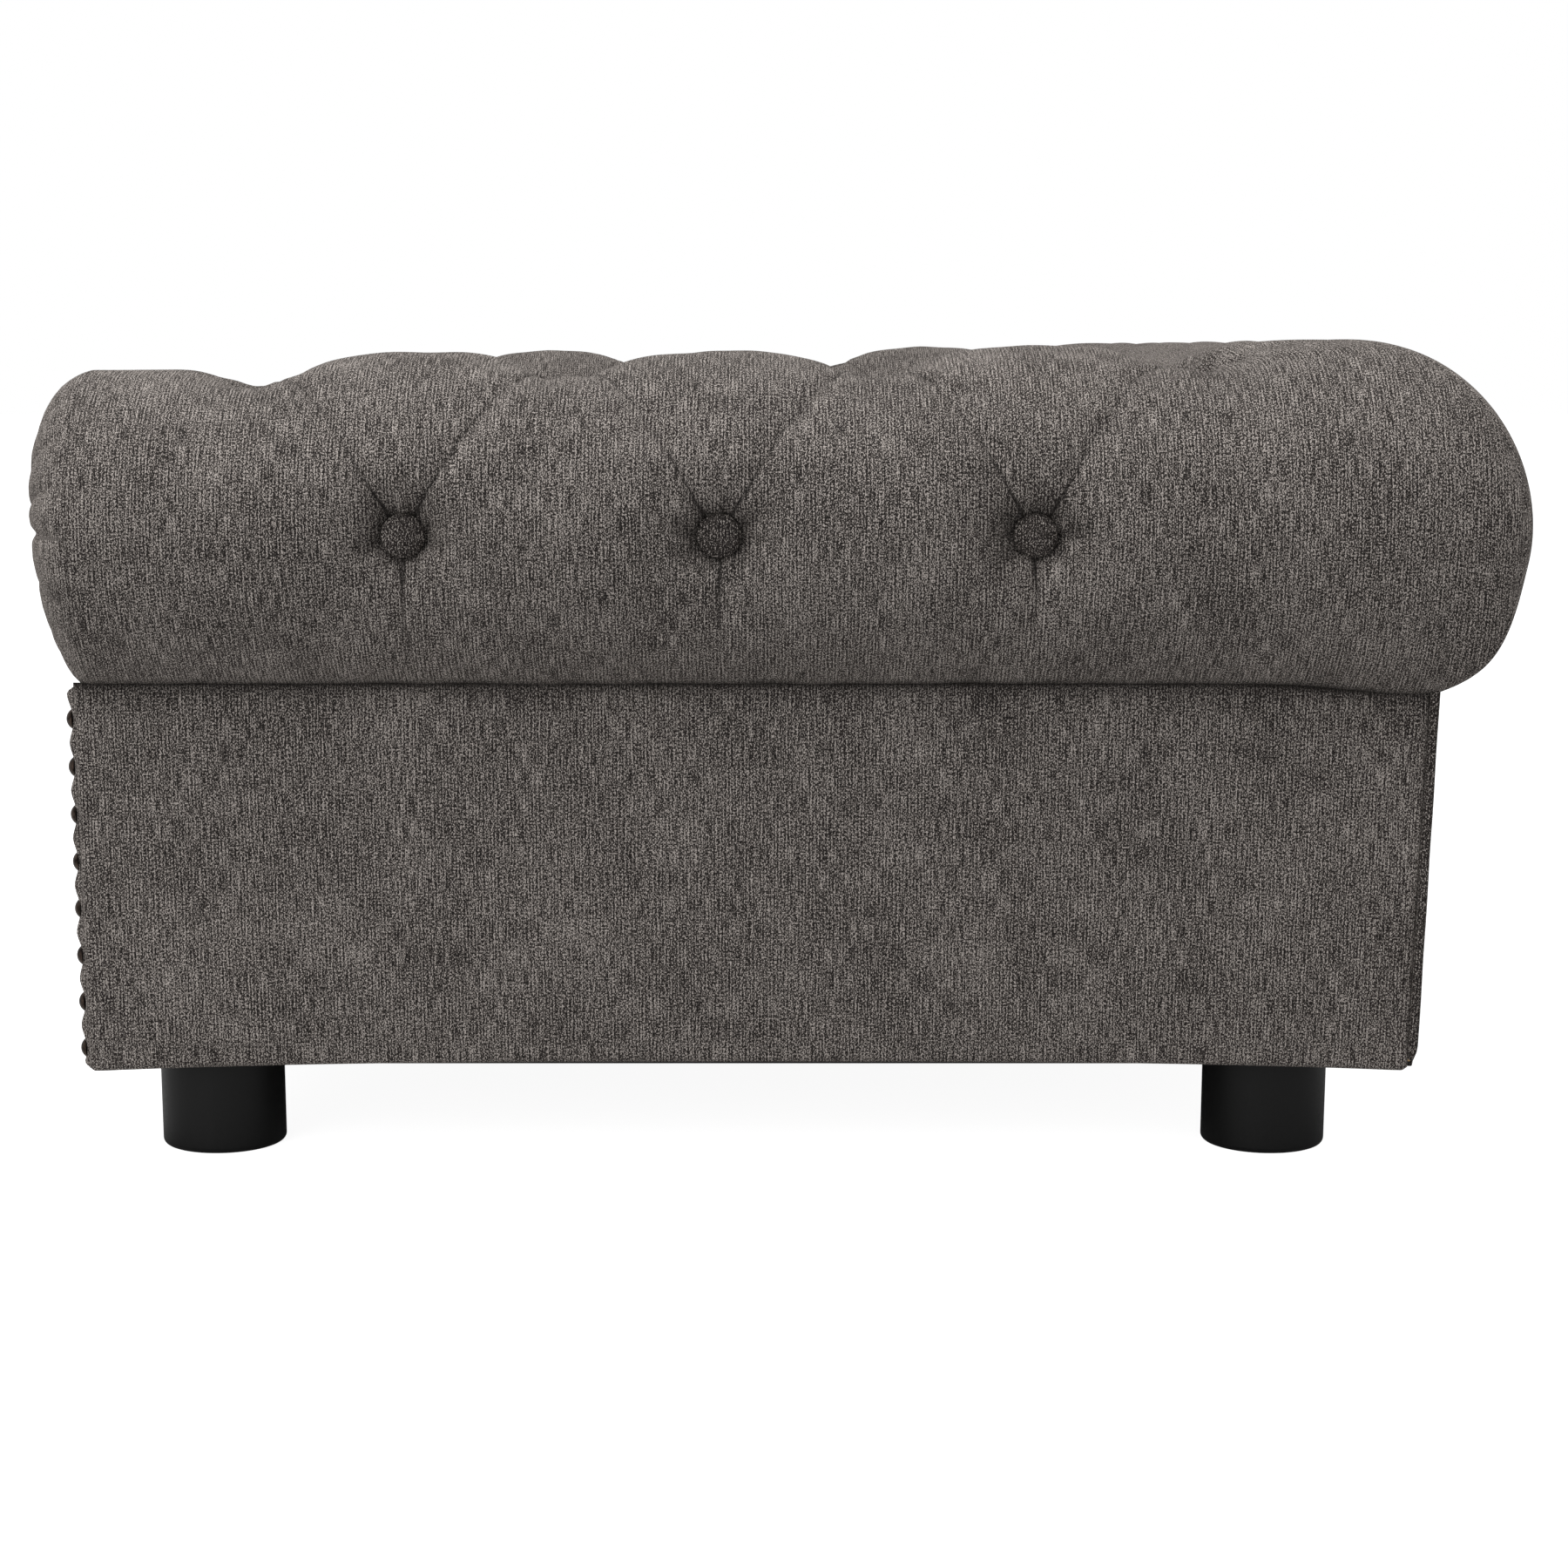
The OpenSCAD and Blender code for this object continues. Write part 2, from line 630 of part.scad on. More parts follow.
// Pleated end of a roll: a low dome, drawn in to a button in its middle. A row is the share of
// the roll's radius and the share of the end's thickness; the last row is the button's seat.
end_rows = [[1, 0], [0.98, 0.12], [0.9, 0.42], [0.78, 0.68], [0.6, 0.88], [0.4, 1], [0.21, 0.72]];
function end_ring(row) =
    let(seat = row[0] < 0.3, groove = end_pleat_depth * (0.35 + 0.65 * sin(180 * row[1])))
    [for (i = [0:2 * end_pleats - 1])
        let(a = i * 180 / end_pleats,
            in_pleat = i % 2 == 0 ? 0 : groove * row[0],
            forward = row[1] * (end_t - (seat ? 0 : end_lean * (1 - sin(a)) / 2)),
            r = roll_r * row[0] - in_pleat,
            drop = sin(a) > 0 ? 1 - front_drop / roll_r : 1)
        [r * cos(a), -forward + in_pleat * (row[1] > 0.3 && !seat ? 0.6 : 0), r * sin(a) * drop]];
module right_roll_end() {
    color(fabric) translate([arm_x, front_y, roll_z])
        skin([for (row = end_rows) end_ring(row)]);
}
module left_roll_end() { on_left() right_roll_end(); }

// Facing under the roll end, hollowed to fit round it
module right_facing() {
    horn = roll_z - 14;
    color(fabric) along_y(face_y, front_y) difference() {
        translate([wall_x, skirt_z]) square([side_x - wall_x, horn - skirt_z]);
        translate([arm_x, roll_z]) circle(r = roll_r + soft_gap, $fn = 96);
        translate([arm_x, tuck_z]) square([side_x, roll_z]);
    }
}
module left_facing() { on_left() right_facing(); }

// Domed nails along the two upright edges and round the hollow top of a facing
arc_r = roll_r + soft_gap + nail_inset;
nail_out_x = side_x - nail_inset;
nail_in_x = wall_x + nail_inset;
nail_base_z = skirt_z + nail_low;
arc_out = acos((nail_out_x - arm_x) / arc_r);
arc_in = acos((nail_in_x - arm_x) / arc_r);
arc_step = nail_pitch / arc_r * 180 / PI;
arc_count = floor((arc_in - arc_out) / arc_step - 0.6);
out_count = floor((roll_z - arc_r * sin(arc_out) - nail_base_z) / nail_pitch);
in_count = floor((roll_z - arc_r * sin(arc_in) - nail_base_z) / nail_pitch);
module nail_head() {
    rise = (pow(nail_d / 2, 2) - pow(nail_h, 2)) / (2 * nail_h);
    rotate([90, 0, 0]) rotate_extrude($fn = 24) intersection() {
        translate([0, -rise]) circle(r = rise + nail_h, $fn = 96);
        square([nail_d, nail_h]);
    }
}
module right_facing_nails() {
    color(bronze) translate([0, face_y, 0]) {
        for (k = [0:out_count])
            translate([nail_out_x, 0, nail_base_z + k * nail_pitch]) nail_head();
        for (k = [0:in_count])
            translate([nail_in_x, 0, nail_base_z + k * nail_pitch]) nail_head();
        for (k = [1:arc_count]) let(a = -arc_out - k * (arc_in - arc_out) / (arc_count + 1))
            translate([arm_x + arc_r * cos(a), 0, roll_z + arc_r * sin(a)]) nail_head();
    }
}
module left_facing_nails() { on_left() right_facing_nails(); }

// Covered buttons, seated on the floors of their dimples
module covered_button(d) {
    r = d / 2;
    edge = button_t * 0.4;
    rise = button_t - edge;
    dome = (r * r + rise * rise) / (2 * rise);
    rotate_extrude($fn = 48) {
        square([r, edge]);
        intersection() {
            translate([0, button_t - dome]) circle(r = dome, $fn = 128);
            translate([0, edge]) square([r, rise]);
        }
    }
}
module button_on_arm(y, turn, rise) {
    translate([arm_x, y, roll_z]) rotate([0, -turn, 0])
        translate([roll_r - sink + rise + tiny, 0, 0]) rotate([0, 90, 0]) covered_button(button_d);
}
module right_arm_buttons() {
    color(fabric_dark) {
        for (k = [arm_first:arm_last + 1]) let(y = arm_button_y + k * arm_half) {
            if (k % 2 == 0) for (turn = [0, 180]) button_on_arm(y, turn, 0);
            else button_on_arm(y, 90, arm_rise(y) * (1 - sink / roll_r));
        }
    }
}
module left_arm_buttons() { on_left() right_arm_buttons(); }
module button_on_back(x, turn, rise) {
    translate([x, back_y, roll_z]) rotate([turn, 0, 0])
        translate([0, roll_r - sink + rise + tiny, 0]) rotate([-90, 0, 0])
            covered_button(button_d);
}
module back_buttons() {
    top_rise = back_rise * (1 - sink / roll_r);
    color(fabric_dark) {
        for (k = [-back_last:back_last]) {
            if (k % 2 == 0) for (turn = [0, 180]) button_on_back(k * back_half, turn, 0);
            else button_on_back(k * back_half, 90, top_rise);
        }
    }
}
module right_end_button() {
    last = end_rows[len(end_rows) - 1];
    color(fabric_dark) translate([arm_x, front_y - last[1] * end_t - tiny, roll_z])
        rotate([90, 0, 0]) covered_button(end_button_d);
}
module left_end_button() { on_left() right_end_button(); }

// Seat cushion: crowned top, flat underside, boxing, and sides that draw in
cushion_x = wall_x - cushion_gap;
cushion_front = face_y - cushion_nose;
cushion_rear = wall_y - zip_room;
cushion_mid = (cushion_front + cushion_rear) / 2;
cushion_half = (cushion_rear - cushion_front) / 2;
cushion_top = deck_z + soft_gap + boxing_h;
side_points = 7;
corner_points = 4;
// One quarter turn of the outline: a drawn-in side, then a round corner
function edge_points(half, other, keep) = [
    for (i = [0:side_points - 1])
        let(t = -1 + 2 * i / side_points, along = t * (half - cushion_corner))
        [other - draw_in * keep * (1 - t * t), along]];
function bend_points(hx, hy) = [
    for (i = [0:corner_points - 1])
        let(a = 90 * i / corner_points)
        [hx - cushion_corner * (1 - cos(a)), hy - cushion_corner * (1 - sin(a))]];
function turned(points, quarter) = [
    for (p = points) quarter == 0 ? p : quarter == 1 ? [-p[1], p[0]] :
        quarter == 2 ? [-p[0], -p[1]] : [p[1], -p[0]]];
function outline(hx, hy) = concat(
    turned(concat(edge_points(hy, hx, 1), bend_points(hx, hy)), 0),
    turned(concat(edge_points(hx, hy, 0), bend_points(hy, hx)), 1),
    turned(concat(edge_points(hy, hx, 1), bend_points(hx, hy)), 2),
    turned(concat(edge_points(hx, hy, 1), bend_points(hy, hx)), 3));
function crown_at(k) = cushion_top + crown_h * (1 - pow(k, 3));
cushion_levels = concat(
    [[0.5, deck_z + soft_gap], [0.97, deck_z + soft_gap], [0.99, deck_z + soft_gap + 4]],
    [[1, deck_z + soft_gap + 16], [1, cushion_top - 16], [0.988, cushion_top - 3]],
    [for (k = [0.96, 0.86, 0.7, 0.5, 0.25, 0.08]) [k, crown_at(k)]]);
module cushion_form() {
    base = outline(cushion_x, cushion_half);
    translate([0, cushion_mid, 0]) skin([
        for (level = cushion_levels)
            [for (p = base) [p[0] * level[0], p[1] * level[0], level[1]]]]);
}
core_low = [-cushion_x + wrap_t, cushion_front + wrap_t, deck_z + wrap_t];
core_high = [cushion_x - wrap_t, cushion_rear - wrap_t, cushion_top - wrap_t / 2];
module cushion_core() { color(foam) box(core_low, core_high); }
module cushion_cover() {
    fit = [soft_gap, soft_gap, soft_gap];
    color(fabric) difference() {
        cushion_form();
        box(core_low - fit, core_high + fit);
    }
}

// Zip on the cushion's rear boxing, with a slider that has no pull tab
zip_z = (deck_z + cushion_top) / 2;
tape_y = cushion_rear + 0.05;
chain_y = tape_y + tape_t;
module zip_tape() {
    color(cloth_black) box([-zip_l / 2, tape_y, zip_z - tape_w / 2],
        [zip_l / 2, chain_y, zip_z + tape_w / 2]);
}
module zip_chain() {
    color(cloth_black) box([-zip_l / 2, chain_y, zip_z - chain_w / 2],
        [zip_l / 2, chain_y + chain_t, zip_z + chain_w / 2]);
}
// The slider wraps the chain from behind and narrows towards its closing end
module zip_slider() {
    half = chain_w / 2 + slider_gap + slider_wall;
    depth = chain_t + slider_gap + slider_wall;
    color(steel) translate([-zip_l / 2 + 2, chain_y + slider_gap, zip_z]) difference() {
        rotate([-90, 0, 0]) linear_extrude(depth - slider_gap) polygon([
            [0, half * 0.8], [slider_l * 0.3, half], [slider_l, half],
            [slider_l, -half], [slider_l * 0.3, -half], [0, -half * 0.8]]);
        translate([-1, -slider_gap - tiny, -chain_w / 2 - slider_gap])
            cube([slider_l + 2, chain_t + slider_gap, chain_w + 2 * slider_gap]);
    }
}

front_rail();
rear_rail();
left_side_rail();
right_side_rail();
center_bearer();
rear_ledger();
left_ledger();
right_ledger();
seat_deck();
left_inner_board();
right_inner_board();
left_outer_board();
right_outer_board();
back_inner_board();
back_outer_board();
left_front_post();
right_front_post();
left_rear_post();
right_rear_post();
back_post();
left_arm_core();
right_arm_core();
back_core();
frame_bolts();
deck_screws();
tee_nuts();
foot_studs();
front_left_foot();
front_right_foot();
rear_left_foot();
rear_right_foot();
dust_cloth();
left_side_cover();
right_side_cover();
back_cover();
front_apron();
left_arm_pad();
right_arm_pad();
back_pad();
left_roll_end();
right_roll_end();
left_facing();
right_facing();
left_facing_nails();
right_facing_nails();
left_arm_buttons();
right_arm_buttons();
back_buttons();
left_end_button();
right_end_button();
left_rear_piping();
right_rear_piping();
cushion_core();
cushion_cover();
zip_tape();
zip_chain();
zip_slider();
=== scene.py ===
"""Looks of a tufted roll-arm pet sofa: buttoned rolls, upholstered panels, loose cushion, round feet.

Lengths are in metres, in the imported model's frame: +X along the sofa, the front is -Y, +Z up.
"""

from __future__ import annotations

import json
import logging
import math
from dataclasses import dataclass, field
from enum import Enum
from typing import Callable, Sequence

import bpy
import numpy as np
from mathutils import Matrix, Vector

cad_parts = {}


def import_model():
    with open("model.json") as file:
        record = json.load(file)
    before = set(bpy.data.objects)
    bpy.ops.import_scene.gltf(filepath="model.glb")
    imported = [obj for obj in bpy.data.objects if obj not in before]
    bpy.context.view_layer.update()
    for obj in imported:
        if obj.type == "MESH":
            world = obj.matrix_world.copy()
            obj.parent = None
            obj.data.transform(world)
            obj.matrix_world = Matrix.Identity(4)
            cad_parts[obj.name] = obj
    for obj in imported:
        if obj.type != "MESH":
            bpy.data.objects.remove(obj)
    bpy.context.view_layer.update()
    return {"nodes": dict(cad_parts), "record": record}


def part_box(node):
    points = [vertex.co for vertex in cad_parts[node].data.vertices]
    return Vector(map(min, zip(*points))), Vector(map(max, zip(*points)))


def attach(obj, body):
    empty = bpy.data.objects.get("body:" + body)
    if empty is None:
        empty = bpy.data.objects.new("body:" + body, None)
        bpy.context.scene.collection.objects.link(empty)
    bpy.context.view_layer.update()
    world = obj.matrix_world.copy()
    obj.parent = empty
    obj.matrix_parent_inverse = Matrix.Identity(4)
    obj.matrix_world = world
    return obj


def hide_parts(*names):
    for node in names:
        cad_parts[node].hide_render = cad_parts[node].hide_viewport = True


LOG = logging.getLogger("pet_sofa")
MM = 0.001
SOFA = "sofa"
CUSHION = "seat_cushion"
WHITE = (1.0, 1.0, 1.0, 1.0)
Grid = np.ndarray
Piece = bpy.types.Object
Material = bpy.types.Material
Tree = bpy.types.NodeTree
Socket = bpy.types.NodeSocket
Seat = tuple[Vector, Vector, float]


class Side(Enum):
    """The two ends of the sofa, as seen from its front."""

    LEFT = -1
    RIGHT = 1

    @property
    def word(self) -> str:
        """The side's name in node and piece names."""
        return self.name.lower()


# Numbers and curves


def smooth(low: float, high: float, value: Grid | float) -> Grid:
    """Rises from 0 at low to 1 at high with level ends.

    Args:
        low: where the rise starts.
        high: where it ends.
        value: one number or an array.

    Returns:
        The rise at each value.
    """
    t = np.clip((np.asarray(value, float) - low) / (high - low), 0.0, 1.0)
    return t * t * (3.0 - 2.0 * t)


def bell(away: Grid, width: float) -> Grid:
    """A soft bump that is 1 in its middle and falls to a third at its width.

    Args:
        away: distance from the middle.
        width: distance at which the bump has fallen to a third.

    Returns:
        The bump at each distance.
    """
    return np.exp(-((away / width) ** 2))


def ripple(a: Grid, b: Grid, size: float, seed: int) -> Grid:
    """Soft unevenness made of a few crossing waves, between about -1 and 1.

    Args:
        a: first coordinate in metres.
        b: second coordinate in metres.
        size: distance between swells in metres.
        seed: chooses the set of waves.

    Returns:
        The height at each point.
    """
    waves, spread = 7, 3.2
    draw = np.random.default_rng(seed)
    total = np.zeros(np.broadcast(a, b).shape)
    for _ in range(waves):
        turn, phase = draw.uniform(0, 2 * math.pi, 2)
        pace = draw.uniform(0.6, 1.7) * 2 * math.pi / size
        total = total + np.sin(pace * (np.cos(turn) * a + np.sin(turn) * b) + phase)
    return total / spread


def segment_offset(s: Grid, w: Grid, start: Sequence[float],
                   end: Sequence[float]) -> tuple[Grid, Grid]:
    """Signed distance from a line between two points, and how far along it each point lies.

    Args:
        s: first coordinate.
        w: second coordinate.
        start: the line's first end as (s, w).
        end: the line's last end.

    Returns:
        The signed distance, and the place along the line from 0 to 1.
    """
    ds, dw = end[0] - start[0], end[1] - start[1]
    length = math.hypot(ds, dw)
    along = ((s - start[0]) * ds + (w - start[1]) * dw) / length**2
    held = np.clip(along, 0.0, 1.0)
    near = np.hypot(s - start[0] - held * ds, w - start[1] - held * dw)
    side = np.sign((s - start[0]) * dw - (w - start[1]) * ds)
    return near * np.where(side == 0, 1.0, side), held


def path_lengths(points: Grid) -> Grid:
    """Distance that each point of a path, or each ring of points, has come from the first.

    Args:
        points: array (point, axes) or (ring, point, axes).

    Returns:
        The distances, 0 for the first point or ring.
    """
    steps = np.linalg.norm(np.diff(points, axis=0), axis=-1)
    return np.concatenate([np.zeros((1,) + steps.shape[1:]), np.cumsum(steps, axis=0)])


def circle(count: int) -> Grid:
    """Angles of evenly spaced points round a circle."""
    return np.arange(count) * 2 * math.pi / count


# Meshes


def grid_faces(rows: int, columns: int, closed: bool) -> Grid:
    """Quads of a grid whose points are numbered row by row.

    Args:
        rows: number of rows.
        columns: number of points in a row.
        closed: whether each row's last point joins its first.

    Returns:
        An array of four point numbers for each quad.
    """
    last = columns if closed else columns - 1
    j, i = np.meshgrid(np.arange(rows - 1), np.arange(last), indexing="ij")
    k = (i + 1) % columns
    quads = [j * columns + i, (j + 1) * columns + i, (j + 1) * columns + k, j * columns + k]
    return np.stack(quads, -1).reshape(-1, 4)


def end_caps(count: int, size: int) -> list[list[int]]:
    """The two faces that close a skin of rings, one over the first ring and one over the last.

    Args:
        count: number of rings.
        size: number of points in a ring.

    Returns:
        The point numbers of both faces.
    """
    return [list(range(size)), list(range(count * size - 1, (count - 1) * size - 1, -1))]


def deselect_all() -> None:
    """Leaves nothing selected, so that an operator acts only on what is chosen next."""
    for piece in bpy.context.selected_objects:
        piece.select_set(False)


def face_outwards(piece: Piece) -> None:
    """Turns every face of a piece outwards.

    Args:
        piece: the piece, a closed skin or several.
    """
    deselect_all()
    piece.select_set(True)
    bpy.context.view_layer.objects.active = piece
    bpy.ops.object.mode_set(mode="EDIT")
    bpy.ops.mesh.select_all(action="SELECT")
    bpy.ops.mesh.normals_make_consistent(inside=False)
    bpy.ops.object.mode_set(mode="OBJECT")
    piece.select_set(False)


def add_map(piece: Piece, name: str, values: Grid) -> None:
    """Gives a piece a UV map.

    Args:
        piece: the piece.
        name: the map's name.
        values: one place for each corner of each face, in the mesh's order.
    """
    layer = piece.data.uv_layers.new(name=name)
    layer.data.foreach_set("uv", np.ascontiguousarray(values, np.float32).ravel())


def make_piece(name: str, points: Grid, faces: Sequence[Sequence[int]], uv: Grid | None = None,
               corner_uv: Grid | None = None) -> Piece:
    """Makes a smooth-shaded mesh object whose faces point outwards.

    Args:
        name: the piece's name.
        points: array of positions.
        faces: point numbers of each face.
        uv: one texture place for each point, in metres of cloth.
        corner_uv: one texture place for each corner of each face, in place of uv.

    Returns:
        The new object, at the origin.
    """
    mesh = bpy.data.meshes.new(name)
    lists = [[int(v) for v in face] for face in faces]
    mesh.from_pydata([tuple(map(float, p)) for p in points], [], lists)
    piece = bpy.data.objects.new(name, mesh)
    bpy.context.scene.collection.objects.link(piece)
    if corner_uv is None:
        corner_uv = np.asarray(uv)[np.array([v for face in lists for v in face])]
    add_map(piece, "cloth", corner_uv)
    face_outwards(piece)
    mesh.polygons.foreach_set("use_smooth", [True] * len(mesh.polygons))
    return piece


def ring_skin(name: str, rings: Grid, uv: Grid) -> Piece:
    """A closed piece over rings that all have the same number of points.

    Args:
        name: the piece's name.
        rings: array (ring, point, 3).
        uv: array (ring, point, 2) of places in the cloth.

    Returns:
        The new piece.
    """
    count, size = rings.shape[:2]
    faces = grid_faces(count, size, True).tolist() + end_caps(count, size)
    return make_piece(name, rings.reshape(-1, 3), faces, uv.reshape(-1, 2))


def mark_points(piece: Piece, **values: Grid) -> None:
    """Stores one number for each point of a piece under each given name.

    Args:
        piece: the piece.
        values: an array of numbers for each name, in the order of the points.
    """
    for name, numbers in values.items():
        layer = piece.data.attributes.new(name, "FLOAT", "POINT")
        layer.data.foreach_set("value", np.ascontiguousarray(numbers, np.float32).ravel())


# Materials


def linear(code: str) -> tuple[float, float, float, float]:
    """Turns an sRGB hex colour into linear light.

    Args:
        code: the colour, such as 5d5753.

    Returns:
        Linear red, green and blue, and 1.
    """
    parts = [int(code[i:i + 2], 16) / 255 for i in (0, 2, 4)]
    curve = [p / 12.92 if p <= 0.04045 else ((p + 0.055) / 1.055) ** 2.4 for p in parts]
    return (curve[0], curve[1], curve[2], 1.0)


def add_node(tree: Tree, kind: str, inputs: dict[str | int, object] | None = None,
             **settings: object) -> bpy.types.Node:
    """Adds a node with its settings, values and links.

    Args:
        tree: the material's node tree.
        kind: the node's type.
        inputs: for a socket's name or number, its value or the socket that feeds it.
        settings: the node's own properties.

    Returns:
        The new node.
    """
    node = tree.nodes.new(kind)
    for key, value in settings.items():
        setattr(node, key, value)
    for key, source in (inputs or {}).items():
        if isinstance(source, Socket):
            tree.links.new(source, node.inputs[key])
        else:
            node.inputs[key].default_value = source
    return node


def add_ramp(tree: Tree, factor: Socket, stops: Sequence[tuple[float, str]]) -> Socket:
    """Adds a colour ramp.

    Args:
        tree: the material's node tree.
        factor: the socket that chooses the colour.
        stops: places and sRGB hex colours.

    Returns:
        The ramp's colour socket.
    """
    ramp = add_node(tree, "ShaderNodeValToRGB", {"Fac": factor})
    band = ramp.color_ramp
    while len(band.elements) < len(stops):
        band.elements.new(0.5)
    for element, (place, code) in zip(band.elements, stops):
        element.position = place
        element.color = linear(code)
    return ramp.outputs["Color"]


def new_material(name: str, values: dict[str, object]) -> tuple[Material, Tree, bpy.types.Node]:
    """A material with plain values on its surface shader's own sockets.

    Args:
        name: the material's name.
        values: the value of each named socket.

    Returns:
        The material, its node tree and its Principled shader.
    """
    material = bpy.data.materials.new(name)
    material.use_nodes = True
    tree = material.node_tree
    shader = next(n for n in tree.nodes if n.type == "BSDF_PRINCIPLED")
    for key, value in values.items():
        shader.inputs[key].default_value = value
    return material, tree, shader


@dataclass(frozen=True)
class Strand:
    """One noise of the cloth: its grain across and along the ribs, and its share of the colour."""

    across: float
    along: float
    detail: float
    share: float

    def lay(self, tree: Tree, place: Socket) -> Socket:
        """Adds the noise.

        Args:
            tree: the material's node tree.
            place: the cloth map, in metres.

        Returns:
            The noise's number, 0 to 1.
        """
        scaled = add_node(tree, "ShaderNodeMapping",
                          {"Vector": place, "Scale": (1 / self.across, 1 / self.along, 1.0)})
        noise = add_node(tree, "ShaderNodeTexNoise", {"Vector": scaled.outputs[0], "Scale": 1.0,
                                                      "Detail": self.detail, "Roughness": 0.55})
        return noise.outputs["Fac"]


